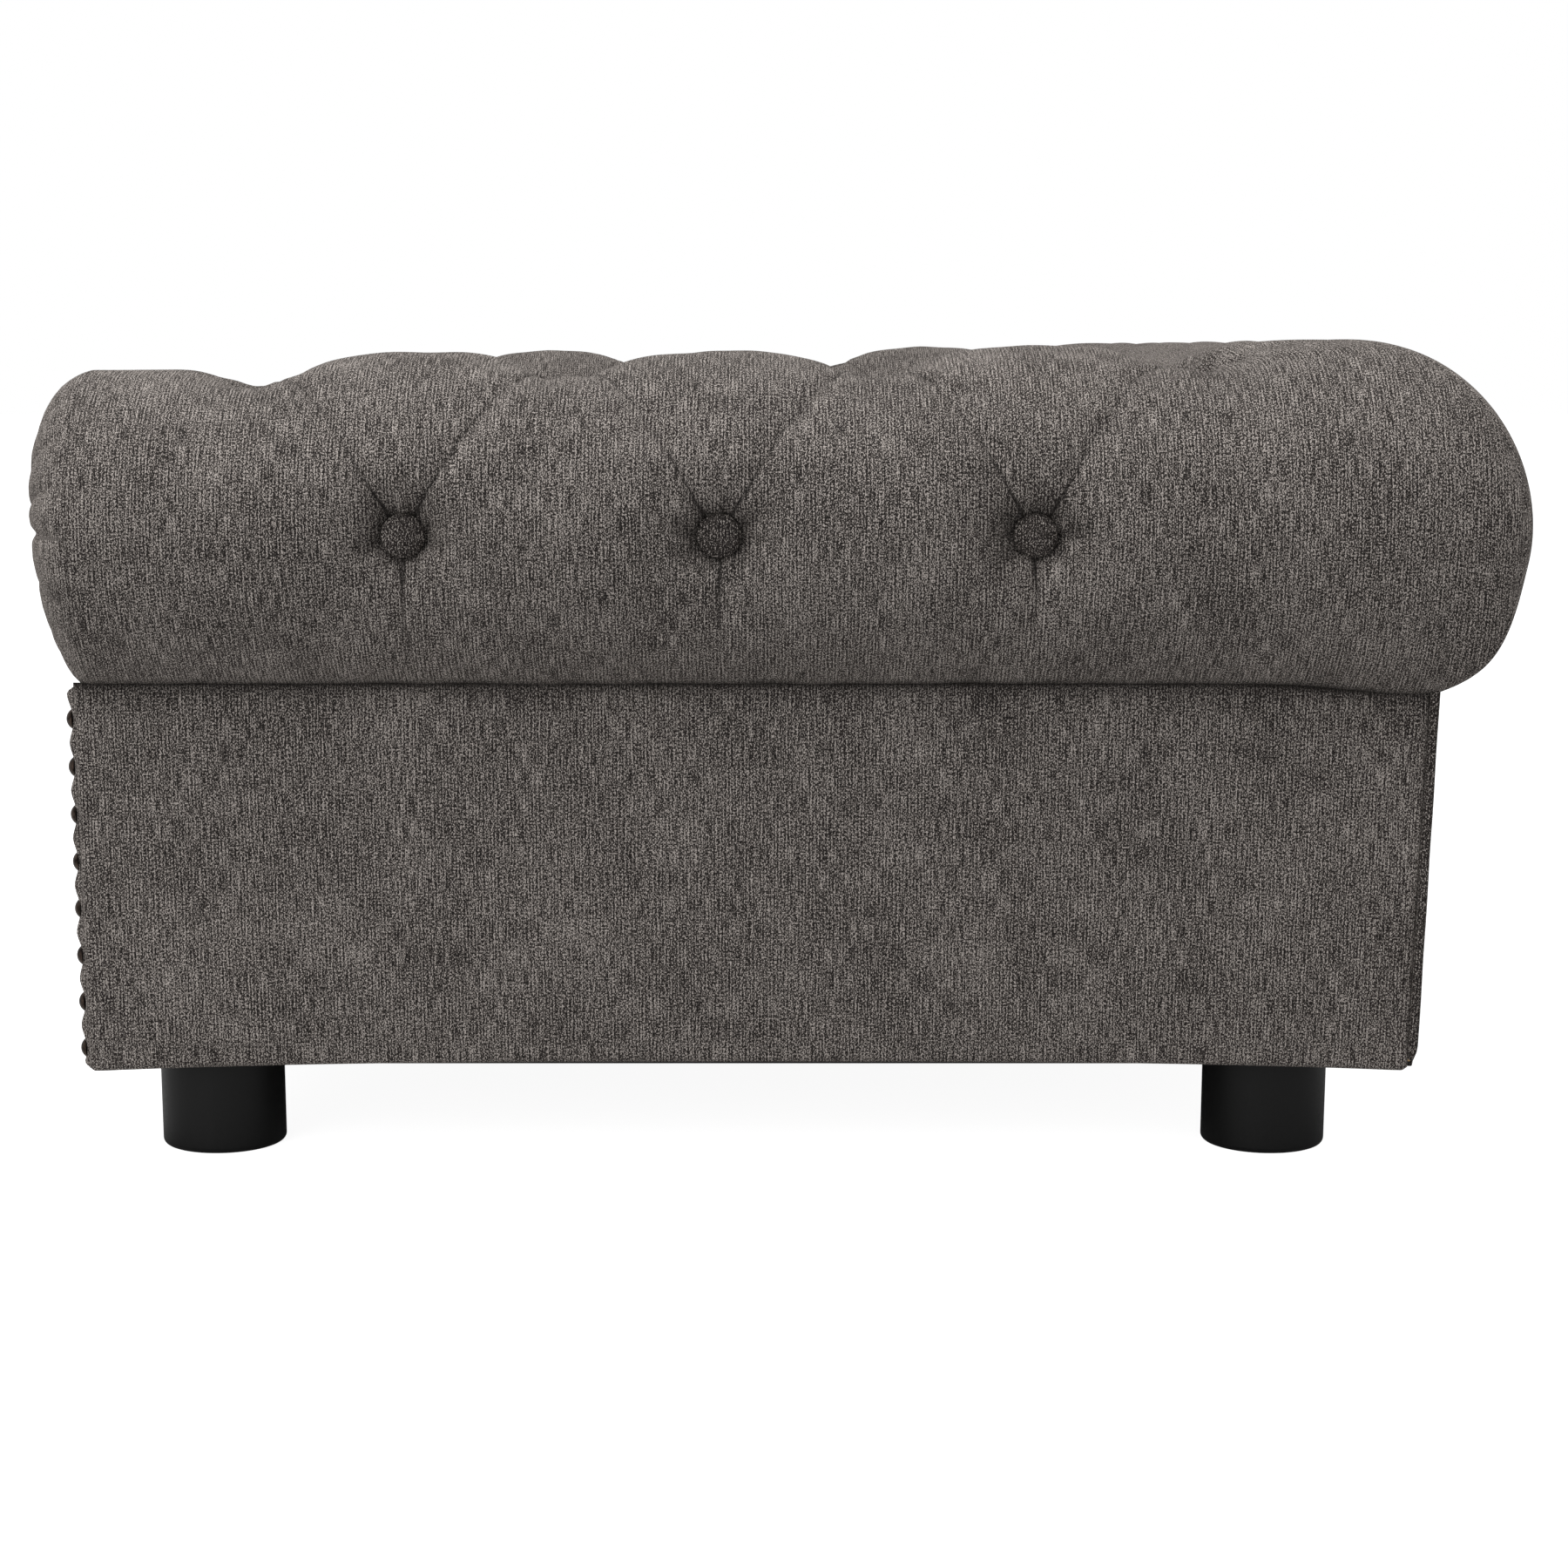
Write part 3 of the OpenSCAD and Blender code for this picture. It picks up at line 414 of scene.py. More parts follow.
@dataclass(frozen=True)
class Chenille:
    """Ribbed chenille: tufted yarn in upright rows, flecked light and dark, with a soft bloom.

    The cloth map "cloth" is in metres with V along the ribs. Every chenille piece may carry the
    number "hollow", painted shade from 0 to 1 that darkens the cloth in the dimples round the buttons
    and along the line where a roll meets the panel under it. Pieces with pleats also carry "pleat" (how
    strong a pleat is) and the map "tuft", in which pleats are straight lines; their creases get
    painted shade too.
    """

    name: str = "chenille"
    tone: float = -0.028
    bloom: float = 0.16
    pleated: bool = False
    # From the shade between the yarns, over their ground and pile, to single bright fibres
    tints: tuple[tuple[float, str], ...] = ((0.400, "1f1c1b"), (0.466, "433e3b"),
                                            (0.526, "6b6561"), (0.600, "b8b0aa"))
    # The yarn's ribs, the tufts along them and single fibres. The real fibres are about 0.1 mm, and
    # are drawn 0.4 by 0.7 mm so that they show.
    rib: float = 1.5 * MM
    rib_share: float = 0.07
    streaks: Strand = Strand(0.63 * MM, 11 * MM, 1.5, 0.44)
    yarn: Strand = Strand(0.54 * MM, 1.14 * MM, 1.0, 0.58)
    flecks: Strand = Strand(0.372 * MM, 0.66 * MM, 0.5, 0.78)
    clouds: Strand = Strand(38 * MM, 60 * MM, 3.0, 0.11)
    # How fast a crease fades beside its line: e-folds for a square distance of one pitch, so that
    # the fine one is 0.7 mm wide and the broad one 2.6 mm
    fine_fall: float = 36000.0
    broad_fall: float = 2600.0
    crease_depth: float = 1.6

    def make(self) -> Material:
        """Builds the material.

        Returns:
            The material.
        """
        material, tree, shader = new_material(self.name, {
            "Roughness": 0.92, "Specular IOR Level": 0.1, "Sheen Weight": self.bloom,
            "Sheen Roughness": 0.5, "Sheen Tint": linear("d8cdc4")})
        place = add_node(tree, "ShaderNodeUVMap", uv_map="cloth").outputs["UV"]
        tint, height = self.weave(tree, place)
        dark = add_node(tree, "ShaderNodeAttribute", attribute_name="hollow").outputs["Fac"]
        if self.pleated:
            crease, dark = self.creases(tree, place, dark)
            height = add_node(tree, "ShaderNodeMath", {0: crease, 1: -self.crease_depth, 2: height},
                              operation="MULTIPLY_ADD").outputs[0]
        # Painted shade: the cloth is mixed towards near black by the number "hollow" and, where pleated, by
        # the creases
        # A Mix node takes its factor and its two colours in sockets 0, 6 and 7
        shaded = add_node(tree, "ShaderNodeMix", {0: dark, 6: tint, 7: linear("141211")}, data_type="RGBA")
        tree.links.new(shaded.outputs[2], shader.inputs["Base Color"])
        bump = add_node(tree, "ShaderNodeBump", {"Height": height, "Strength": 0.6, "Distance": 0.7 * MM})
        tree.links.new(bump.outputs[0], shader.inputs["Normal"])
        return material

    def weave(self, tree: Tree, place: Socket) -> tuple[Socket, Socket]:
        """Adds the ribs and the yarn on them.

        Args:
            tree: the material's node tree.
            place: the cloth map.

        Returns:
            The cloth's colour, and its height.
        """
        rows = add_node(tree, "ShaderNodeMapping",
                        {"Vector": place, "Scale": (1 / self.rib, 0.12 / self.rib, 1.0)})
        # At 0.314 one band of the wave is one rib
        ribs = add_node(tree, "ShaderNodeTexWave",
                        {"Vector": rows.outputs[0], "Scale": 0.314, "Distortion": 2.0, "Detail": 1.0,
                         "Detail Scale": 1.4}, bands_direction="X")
        layers = [(ribs.outputs["Fac"], self.rib_share)]
        for strand in (self.streaks, self.yarn, self.flecks, self.clouds):
            layers.append((strand.lay(tree, place), strand.share))
        # Each layer is 0.5 on average, and so is their sum before the tone
        total: Socket | float = 0.5 * (1 - sum(share for _, share in layers)) + self.tone
        sums = []
        for layer, share in layers:
            total = add_node(tree, "ShaderNodeMath", {0: layer, 1: share, 2: total},
                             operation="MULTIPLY_ADD").outputs[0]
            sums.append(total)
        # The clouds, which come last, are only colour
        return add_ramp(tree, sums[-1], self.tints), sums[-2]

    def creases(self, tree: Tree, cloth: Socket, hollow: Socket) -> tuple[Socket, Socket]:
        """Adds fine creases along the pleat lines of the map "tuft", where each has a whole number.

        Args:
            tree: the material's node tree.
            cloth: the cloth map.
            hollow: the painted shade of the place, in the dimples and where the roll meets the panel.

        Returns:
            How deep the crease is, and how much painted shade darkens the cloth in it, in the dimples and
            along the roll's tuck.
        """
        tuft = add_node(tree, "ShaderNodeUVMap", uv_map="tuft").outputs["UV"]
        parts = add_node(tree, "ShaderNodeSeparateXYZ", {"Vector": tuft}).outputs
        found: dict[str, Socket] = {"u": parts[0], "v": parts[1], "hollow": hollow}
        found["strong"] = add_node(tree, "ShaderNodeAttribute", attribute_name="pleat").outputs["Fac"]
        for name, scale, detail in (("waver", 42.0, 2.0), ("patchy", 95.0, 1.0)):
            found[name] = add_node(tree, "ShaderNodeTexNoise",
                                   {"Vector": cloth, "Scale": scale, "Detail": detail}).outputs["Fac"]
        sums = (
            # Slanted lines between the outer and the inner row, upright ones beyond them
            ("wander", "MULTIPLY_ADD", "waver", 0.036, -0.018),
            ("past_outer", "GREATER_THAN", "v", 0.0),
            ("before_inner", "LESS_THAN", "v", 1.0),
            ("between", "MULTIPLY", "past_outer", "before_inner"),
            ("beyond", "SUBTRACT", 1.0, "between"),
            ("rising", "ADD", "u", "v"),
            ("rising", "ADD", "rising", "wander"),
            ("rising", "PINGPONG", "rising", 0.5),
            ("falling", "SUBTRACT", "u", "v"),
            ("falling", "ADD", "falling", "wander"),
            ("falling", "PINGPONG", "falling", 0.5),
            ("slanted", "MINIMUM", "rising", "falling"),
            ("slanted", "MULTIPLY", "slanted", 0.87),
            ("slanted", "MULTIPLY", "slanted", "between"),
            ("upright", "ADD", "u", "wander"),
            ("upright", "PINGPONG", "upright", 0.5),
            ("away", "MULTIPLY_ADD", "upright", "beyond", "slanted"),
            ("square", "MULTIPLY", "away", "away"),
            ("fine", "MULTIPLY", "square", -self.fine_fall),
            ("fine", "EXPONENT", "fine"),
            ("uneven", "MULTIPLY_ADD", "patchy", 1.9, 0.1),
            ("fine", "MULTIPLY", "fine", "uneven"),
            ("fine", "MULTIPLY", "fine", "strong"),
            ("broad", "MULTIPLY", "square", -self.broad_fall),
            ("broad", "EXPONENT", "broad"),
            ("broad", "MULTIPLY", "broad", "strong"),
            ("depth", "MULTIPLY_ADD", "broad", 1.1, "fine"),
            # Painted shade: dark in the fine crease, a little beside it, in the dimples and along the roll's
            # tuck
            ("dark", "MULTIPLY", "broad", 0.2),
            ("dark", "MULTIPLY_ADD", "fine", 0.95, "dark"),
            ("dark", "MULTIPLY_ADD", "hollow", 0.58, "dark"),
            ("dark", "MINIMUM", "dark", 0.85))
        for name, operation, *sources in sums:
            inputs = {slot: found[s] if isinstance(s, str) else s for slot, s in enumerate(sources)}
            found[name] = add_node(tree, "ShaderNodeMath", inputs, operation=operation).outputs[0]
        return found["depth"], found["dark"]


@dataclass(frozen=True)
class Speckled:
    """A plain finish whose colour and gloss vary with one noise on Object coordinates.

    The grain is the noise's size along X, Y and Z.
    """

    name: str
    dark: str
    light: str
    grain: tuple[float, float, float]
    roughness: float = 0.5
    metallic: float = 0.0
    bump: float = 0.2
    depth: float = 0.2 * MM
    specular: float = 0.5
    gloss_play: float = 0.06

    def make(self) -> Material:
        """Builds the material.

        Returns:
            The material.
        """
        material, tree, shader = new_material(self.name, {"Metallic": self.metallic,
                                                          "Specular IOR Level": self.specular})
        place = add_node(tree, "ShaderNodeTexCoord").outputs["Object"]
        scaled = add_node(tree, "ShaderNodeMapping",
                          {"Vector": place, "Scale": tuple(1 / size for size in self.grain)})
        noise = add_node(tree, "ShaderNodeTexNoise", {"Vector": scaled.outputs[0], "Scale": 1.0,
                                                      "Detail": 4.0, "Roughness": 0.6}).outputs["Fac"]
        tint = add_ramp(tree, noise, [(0.35, self.dark), (0.65, self.light)])
        tree.links.new(tint, shader.inputs["Base Color"])
        bump = add_node(tree, "ShaderNodeBump",
                        {"Height": noise, "Strength": self.bump, "Distance": self.depth})
        tree.links.new(bump.outputs[0], shader.inputs["Normal"])
        rough = add_node(tree, "ShaderNodeMapRange", {
            "Value": noise, "From Min": 0.3, "From Max": 0.7,
            "To Min": self.roughness - self.gloss_play, "To Max": self.roughness + self.gloss_play})
        tree.links.new(rough.outputs[0], shader.inputs["Roughness"])
        return material


class Finishes:
    """Every material of the sofa, made once."""

    def __init__(self) -> None:
        """Makes the materials."""
        # Woven chenille: warm grey with upright streaks, with creases where it is pleated, and painted shade
        # in its creases, dimples and under the rolls. Buttons and piping are drawn tight and read darker.
        self.chenille = Chenille().make()
        self.tufted = Chenille("chenille_with_pleats", pleated=True).make()
        self.tight = Chenille("chenille_drawn_tight", tone=-0.082, bloom=0.12,
                              streaks=Strand(0.63 * MM, 3 * MM, 1.5, 0.44)).make()
        plain = {
            # Satin moulded polypropylene: near black, broad soft highlights and a faint pebble, which is
            # drawn coarser than its real 0.3 mm so that it shows
            "foot_plastic": Speckled("moulded_polypropylene", "040404", "0a0a0a", (1.2 * MM,) * 3,
                                     roughness=0.42, bump=0.08, depth=0.05 * MM, specular=0.3),
            # Antique bronze plate: brown-black low spots with rubbed warm highs, a few to each nail
            "nail_bronze": Speckled("antique_bronze_plate", "16110e", "5f5249", (2.6 * MM,) * 3,
                                    roughness=0.36, metallic=1.0, bump=0.25, depth=0.08 * MM),
            # Planed pine: pale, long soft grain along the rails
            "pine": Speckled("planed_pine", "b78d56", "dcbc87", (60 * MM, 2.5 * MM, 2.5 * MM), roughness=0.6),
            # Sanded plywood: wider, flatter figure than solid timber
            "plywood": Speckled("sanded_plywood", "b08a5a", "cdaa78", (9 * MM, 70 * MM, 70 * MM),
                                roughness=0.65),
            # Open-cell foam: matte cream with fine pores
            "foam": Speckled("open_cell_foam", "d9cda3", "efe6c6", (1.5 * MM,) * 3, roughness=0.95, bump=0.5),
            # Zinc plate: cool bright grey with a fine cloudy grain
            "zinc_steel": Speckled("zinc_plate", "9a9da0", "c3c6c8", (3 * MM,) * 3, roughness=0.35,
                                   metallic=1.0, bump=0.1),
            # Dark nickel plate on the zip's slider: brownish grey, smooth and bright
            "zip_slider": Speckled("dark_nickel", "33302d", "5e5a55", (1.5 * MM,) * 3, roughness=0.3,
                                   metallic=1.0, bump=0.1),
            # Woven polyester zip tape: dark, with a herringbone that shows only as grain, drawn coarser
            # than its real 0.4 mm threads
            "zip_tape": Speckled("woven_polyester_tape", "2c2927", "44403d", (0.8 * MM, 0.8 * MM, 1.6 * MM),
                                 roughness=0.85, bump=0.5),
            # Spunbonded polypropylene under the base: black felt-like cloth with pressed spots
            "dust_cloth": Speckled("spunbonded_cloth", "131313", "262626", (1.6 * MM,) * 3, roughness=0.9,
                                   bump=0.6)}
        self.by_slot = {slot: finish.make() for slot, finish in plain.items()}
        self.by_slot |= {"chenille": self.chenille, "button_chenille": self.tight, "piping": self.tight}


def dress(piece: Piece, material: Material) -> None:
    """Gives a piece one material in place of all it has."""
    piece.data.materials.clear()
    piece.data.materials.append(material)


def declare(piece: Piece, material: Material, body: str) -> None:
    """Dresses a piece and says what it rides on and what it is made of.

    Args:
        piece: the piece.
        material: its finish.
        body: the body that it moves with.
    """
    dress(piece, material)
    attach(piece, body)
    LOG.info("%s, %d faces", piece.name, len(piece.data.polygons))


# Rolls


@dataclass
class Roll:
    """Sizes that the arm rolls and the back roll share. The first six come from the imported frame."""

    radius: float
    arm_x: float
    back_y: float
    axis_z: float
    front_y: float
    deck_z: float
    core: float = 50 * MM
    lining: float = 4.5 * MM
    # How far round the cover goes below the outer row of buttons
    tuck_turn: float = math.radians(63)
    # How far the section departs from round: up along the back and below, down at the front
    back_rise: float = 5 * MM
    under_lift: float = 2.6 * MM
    front_drop: float = 8 * MM
    arm_pitch: float = 131 * MM
    arm_button_y: float = -26 * MM
    back_pitch: float = 134 * MM
    button_radius: float = 9.2 * MM
    button_sink: float = 17.9 * MM
    # Share of the section that is left on the diagonal of a corner
    corner_keep: float = 0.84

    @classmethod
    def from_frame(cls) -> Roll:
        """Reads the roll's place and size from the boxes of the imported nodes.

        Returns:
            The sizes.
        """
        pad_low, pad_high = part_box("right_arm_pad")
        button_low, button_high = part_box("right_end_button")
        radius = (pad_high.x - pad_low.x) / 2
        return cls(radius=radius, arm_x=(pad_low.x + pad_high.x) / 2,
                   back_y=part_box("back_pad")[1].y - radius, axis_z=(button_low.z + button_high.z) / 2,
                   front_y=pad_low.y, deck_z=pad_low.z)

    @property
    def row_gap(self) -> float:
        """Arc length between two rows of buttons, a quarter of the way round."""
        return self.radius * math.pi / 2

    @property
    def wall_s(self) -> float:
        """Arc length from the outer row to the start of the inner wall."""
        return 2 * self.row_gap

    @property
    def end_s(self) -> float:
        """Arc length from the outer row to the foot of the inner wall."""
        return self.wall_s + self.axis_z - self.deck_z

    @property
    def tuck_s(self) -> float:
        """Arc length at which the cover tucks in under the roll, below the outer row."""
        return -self.radius * self.tuck_turn

    def inner_profile(self) -> Grid:
        """The hidden side of the padding, up the board and round the core.

        Returns:
            Points as (outward, up).
        """
        clear = self.core + self.lining
        turns = np.linspace(math.pi, -self.tuck_turn, 14)
        arc = np.stack([clear * np.cos(turns), clear * np.sin(turns)], -1)
        foot = np.array([[-self.core - 1 * MM, self.deck_z - self.axis_z]])
        return np.concatenate([foot, arc])

    def corner(self, points: Grid, start: float, t: float) -> tuple[Grid, Grid]:
        """Plan of the rounded corner between an arm and the back.

        Args:
            points: a section as (outward, up).
            start: where the corner begins, measured along the roll from the corner's middle.
            t: 0 on the straight roll, 1 on the diagonal where the covers meet.

        Returns:
            The distance outward and the distance along the roll.
        """
        u, up = points[:, 0], points[:, 1]
        below = smooth(10, 60, -np.degrees(np.arctan2(up, np.maximum(u, 1e-6))))
        lining = (u < 0) | (np.hypot(u, up) < self.core + self.lining + 0.5 * MM)
        keep = np.where(lining, 1.0, self.corner_keep + (1 - self.corner_keep) * below)
        outer = smooth(-self.radius / 2, self.radius / 2, u)
        bend = (1 - outer) * (start + u) / 2 + outer * (2 * keep - 1) * u
        out = u * (1 - t * t * (1 - keep))
        along = (1 - t) ** 2 * start + 2 * t * (1 - t) * bend + t * t * keep * u
        return out, along

    @staticmethod
    def corner_turn(share: float) -> float:
        """The corner's t at which the top line has gone a share of its way to the diagonal."""
        return 1.5 - math.sqrt(0.25 + 2 * (1 - share))


@dataclass
class Tufting:
    """Buttons and pleats of one roll, as places (s, w): s round the section, w along the roll."""

    roll: Roll
    outer: Sequence[float]
    top: Sequence[float]
    pitch: float
    seed: int
    # A dimple: level floor under the button, steep wall, then a long slope
    floor: float = 18.6 * MM
    floor_r: float = 9.6 * MM
    slope: float = 11.2 * MM
    slope_reach: float = 16 * MM
    slope_power: float = 0.92
    steep_reach: float = 5.5 * MM
    # The top row's dimples are longer round the section and shorter along the roll
    valley_s: float = 0.6
    valley_w: float = 1.2
    # Gathers round a button
    pucker: float = 1.35 * MM
    pucker_at: float = 6 * MM
    pucker_width: float = 6.5 * MM
    # How far the painted shade round a button reaches
    painted_shade_reach: float = 8 * MM
    close_reach: float = 24 * MM
    # A pleat: rounded valley, crease in it, fold beside it, all weaker in the middle of its length
    shoulder: float = 5.4 * MM
    shoulder_reach: float = 12.5 * MM
    crease: float = 2.6 * MM
    crease_w: float = 3.2 * MM
    crease_far: float = 0.55
    fold: float = 1.0 * MM
    fold_reach: float = 9 * MM
    fold_share: float = 0.6
    mid_fade: float = 0.42
    strong_reach: float = 14 * MM
    strong_far: float = 0.36
    waver: float = 1.6 * MM
    uneven: float = 0.35 * MM

    @property
    def rows(self) -> tuple[tuple[float, Sequence[float]], ...]:
        """The rows of buttons, outer, top and inner, which has the places of the outer one."""
        return (0.0, self.outer), (self.roll.row_gap, self.top), (self.roll.wall_s, self.outer)

    def pleats(self) -> list[tuple[tuple[float, float], tuple[float, float], float]]:
        """Every pleat: down from the outer row, down the inner wall, and between the rows.

        Returns:
            Each pleat's two ends and its strength.
        """
        r, past, aside = self.roll, 20 * MM, 2 * MM
        lines = [((0.0, w), (r.tuck_s - past, w - aside), 1.15) for w in self.outer]
        lines += [((r.wall_s, w), (r.end_s + past, w + aside), 1.1) for w in self.outer]
        for w in self.top:
            for shift in (-self.pitch / 2, self.pitch / 2):
                if any(abs(v - w - shift) < 1 * MM for v in self.outer):
                    lines += [((s, w + shift), (r.row_gap, w), 1.0) for s in (0.0, r.wall_s)]
        return lines

    def valleys(self, s: Grid, w: Grid) -> tuple[Grid, Grid, Grid, Grid]:
        """What the pleats do to the cover.

        Args:
            s: places round the section.
            w: places along the roll.

        Returns:
            Depth of the rounded valleys, depth of the creases, height of the folds beside them, and
            how strong a pleat is, from 0 to about 1.
        """
        shoulders = creases = folds = strong = np.zeros(np.broadcast(s, w).shape)
        waver = self.waver * ripple(s, w, 60 * MM, self.seed)
        for start, end, strength in self.pleats():
            off, along = segment_offset(s, w, start, end)
            arch = np.sin(np.pi * along)
            near = np.abs(off + waver * arch)
            fade = strength * (1 - self.mid_fade * arch)
            if end[0] < 0.0:  # a pleat that runs out below the outer row
                fade = fade * (1 - smooth(0.25, 0.8, along))
            shoulders = np.maximum(shoulders, fade * self.shoulder * np.exp(-near / self.shoulder_reach))
            creases = np.maximum(creases, fade * self.crease * bell(near, self.crease_w))
            lift = (off > 0) * np.exp(-near / self.fold_reach) * arch
            folds = np.maximum(folds, strength * self.fold * lift)
            strong = np.maximum(strong, bell(near, self.strong_reach) * fade)
        return shoulders, creases, folds, strong

    def dimples(self, s: Grid, w: Grid) -> tuple[Grid, Grid, Grid, Grid]:
        """What the buttons do to the cover.

        Args:
            s: places round the section.
            w: places along the roll.

        Returns:
            Depth of the dimples, height of the gathers round them, the painted shade in the dimples and
            how close to a button a place is, both from 0 to 1.
        """
        deep = gathers = hollow = close = np.zeros(np.broadcast(s, w).shape)
        steep = self.floor - self.slope
        buttons = [(bs, bw) for bs, places in self.rows for bw in places]
        for count, (bs, bw) in enumerate(buttons):
            turn = np.arctan2(w - bw, s - bs)
            away = np.maximum(0.0, np.hypot(s - bs, w - bw) - self.floor_r)
            if bs == self.roll.row_gap:
                away = away * np.hypot(self.valley_s * np.cos(turn), self.valley_w * np.sin(turn))
            waves = np.cos(8 * turn + 1.7 * count) + 0.7 * np.cos(5 * turn - 2.3 * count)
            gathers = gathers - self.pucker * waves * bell(away - self.pucker_at, self.pucker_width)
            close = np.maximum(close, np.exp(-away / self.close_reach))
            slope = self.slope * np.exp(-((away / self.slope_reach) ** self.slope_power))
            deep = np.maximum(deep, slope + steep * np.exp(-away / self.steep_reach))
            # Painted shade in the dimple, lighter on the ridges of the gathers
            shade = np.exp(-away / self.painted_shade_reach) * (0.8 - 0.25 * waves)
            hollow = np.maximum(hollow, np.clip(shade, 0, 1))
        return deep, gathers, hollow, close

    def depth(self, s: Grid, w: Grid) -> tuple[Grid, Grid, Grid]:
        """The cover at each place.

        Args:
            s: places round the section.
            w: places along the roll.

        Returns:
            How far it lies under the plain roll, how strong a pleat is there and the painted shade in the
            dimples.
        """
        shoulders, creases, folds, strong = self.valleys(s, w)
        deep, gathers, hollow, close = self.dimples(s, w)
        strong = strong * (self.strong_far + (1 - self.strong_far) * close)
        creases = creases * (self.crease_far + (1 - self.crease_far) * close)
        below = np.maximum(deep, shoulders + creases - folds * self.fold_share) + gathers
        blend = 0.25 * np.sqrt(deep * shoulders)
        rough = self.uneven * ripple(s, w, 45 * MM, self.seed + 1)
        return np.clip(below + blend + rough, -1 * MM, self.floor + 0.6 * MM), strong, hollow


@dataclass
class PaddedRoll:
    """The tufted padding of an arm or of the back, made ring by ring."""

    roll: Roll
    tufting: Tufting
    step: float = 2.6 * MM
    corner_rings: int = 44
    corner_ease: float = 1.5 * MM
    hang: float = 4.5 * MM
    # Shade on the cloth where the roll meets the panel under it
    contact: float = 7 * MM
    contact_shade: float = 1.3
    # The inner wall's tufting fades out towards the seat
    wall_reach: float = 95 * MM
    wall_fade: float = 0.85
    # How near a button of the top row the tufting is at its full strength
    full_near: float = 12 * MM
    # How far before the roll's inner face its corner starts
    corner_reach: float = 18 * MM
    rings: list[Grid] = field(default_factory=list)
    cloth: list[Grid] = field(default_factory=list)
    places: list[float] = field(default_factory=list)
    numbers: list[Grid] = field(default_factory=list)

    def place(self, out: Grid, along: Grid | float, up: Grid) -> Grid:
        """Turns distances outward, along the roll and up from its axis into the frame."""
        raise NotImplementedError

    def rise(self, w: float) -> float:
        """How far the top stands above the round section at a place along the roll."""
        return self.roll.back_rise

    def arcs(self) -> Grid:
        """Places round the section, from the tuck to the foot of the inner wall."""
        count = int((self.roll.end_s - self.roll.tuck_s) / self.step)
        return np.linspace(self.roll.tuck_s, self.roll.end_s, count)

    def section(self, w: float, amount: float, rise: float, ease: float = 0.0) -> tuple[Grid, Grid, Grid]:
        """One ring of the padding.

        Args:
            w: place along the roll.
            amount: share of the tufting, 0 where the cover is plain.
            rise: how far the top stands above the round section.
            ease: how far the roll is drawn in all round.

        Returns:
            The ring as (outward, up), its places round the cloth, and its pleat and painted shade numbers.
        """
        roll, s = self.roll, self.arcs()
        fade = amount * (1 - self.wall_fade * smooth(roll.wall_s + self.wall_reach, roll.end_s, s))
        depth, strong, hollow = self.tufting.depth(s, np.full_like(s, w))
        turn = np.minimum(s, roll.wall_s) / roll.radius
        r = roll.radius - (fade * depth + ease)
        stretch = np.where(np.sin(turn) > 0, rise, -roll.under_lift) / roll.radius
        height = r * np.sin(turn) * (1 + stretch) - np.maximum(0.0, s - roll.wall_s)
        outer = np.stack([r * np.cos(turn), height], -1)
        inner = roll.inner_profile()
        around = np.concatenate([s, s[-1] + 0.01 + np.arange(len(inner)) * 0.01])
        # Painted shade: the dimples' shade, and a dark band where the roll tucks in over the panel
        contact = self.contact_shade * (1 - smooth(roll.tuck_s, roll.tuck_s + self.contact, s))
        numbers = np.stack([strong * fade, np.maximum(hollow * fade, contact)], -1)
        return np.concatenate([outer, inner]), around, np.concatenate([numbers, np.zeros((len(inner), 2))])

    def sag(self, t: float) -> Grid:
        """How far each point of a ring hangs lower in the corner, where the cloth is bunched below."""
        under = self.hang * smooth(0.25, 1.0, t * 1.4) * smooth(0.1, 0.75, self.arcs() / self.roll.tuck_s)
        return np.concatenate([under, np.zeros(len(self.roll.inner_profile()))])

    def add_ring(self, w: float, ring: Grid, around: Grid, numbers: Grid) -> None:
        """Keeps a finished ring.

        Args:
            w: place along the roll.
            ring: its points in the frame.
            around: their places round the cloth.
            numbers: their pleat and painted shade numbers.
        """
        self.rings.append(ring)
        self.cloth.append(np.column_stack([np.full(len(around), w), around]))
        self.places.append(w)
        self.numbers.append(numbers)

    def straight_ring(self, w: float, amount: float = 1.0) -> None:
        """Adds a ring of the straight roll.

        Args:
            w: place along the roll.
            amount: share of the tufting.
        """
        points, around, numbers = self.section(w, amount, self.rise(w))
        self.add_ring(w, self.place(points[:, 0], w, points[:, 1]), around, numbers)

    def corner_ring(self, share: float, start: float, end: float, side: int = 1) -> None:
        """Adds a ring of a rounded corner.

        Args:
            share: how far into the corner, 0 to 1.
            start: where the corner starts along the roll.
            end: where the two rolls' axes cross.
            side: -1 for the corner at the roll's other end.
        """
        w, t = start + share * (end - start), self.roll.corner_turn(share)
        amount = 1 - float(smooth(self.tufting.top[-1] + self.full_near, end, w))
        points, around, numbers = self.section(side * w, amount, self.rise(w), self.corner_ease * t**8)
        out, along = self.roll.corner(points, start - end, t)
        ring = self.place(out, side * (end + along), points[:, 1] - self.sag(t))
        self.add_ring(side * w, ring, around, numbers)

    def finish(self, name: str, node: str, corners: Sequence[tuple[Sequence[int], int]]) -> Piece:
        """Makes the piece with its two cloth maps and its numbers, and hides the solid it stands for.

        Args:
            name: the piece's name.
            node: the solid's name.
            corners: for each corner its rings, from the last straight one on, and the way that the
                cloth's measure runs there, 1 or -1.

        Returns:
            The new piece.
        """
        shape, marks = np.array(self.rings), np.array(self.cloth)
        for order, way in corners:
            order = list(order)
            marks[order[1:], :, 0] = marks[order[0], :, 0] + way * path_lengths(shape[order])[1:]
        piece = ring_skin(name, shape, marks)
        tufting, arcs = self.tufting, self.arcs()
        u = (np.array(self.places)[:, None] - tufting.outer[0]) / tufting.pitch
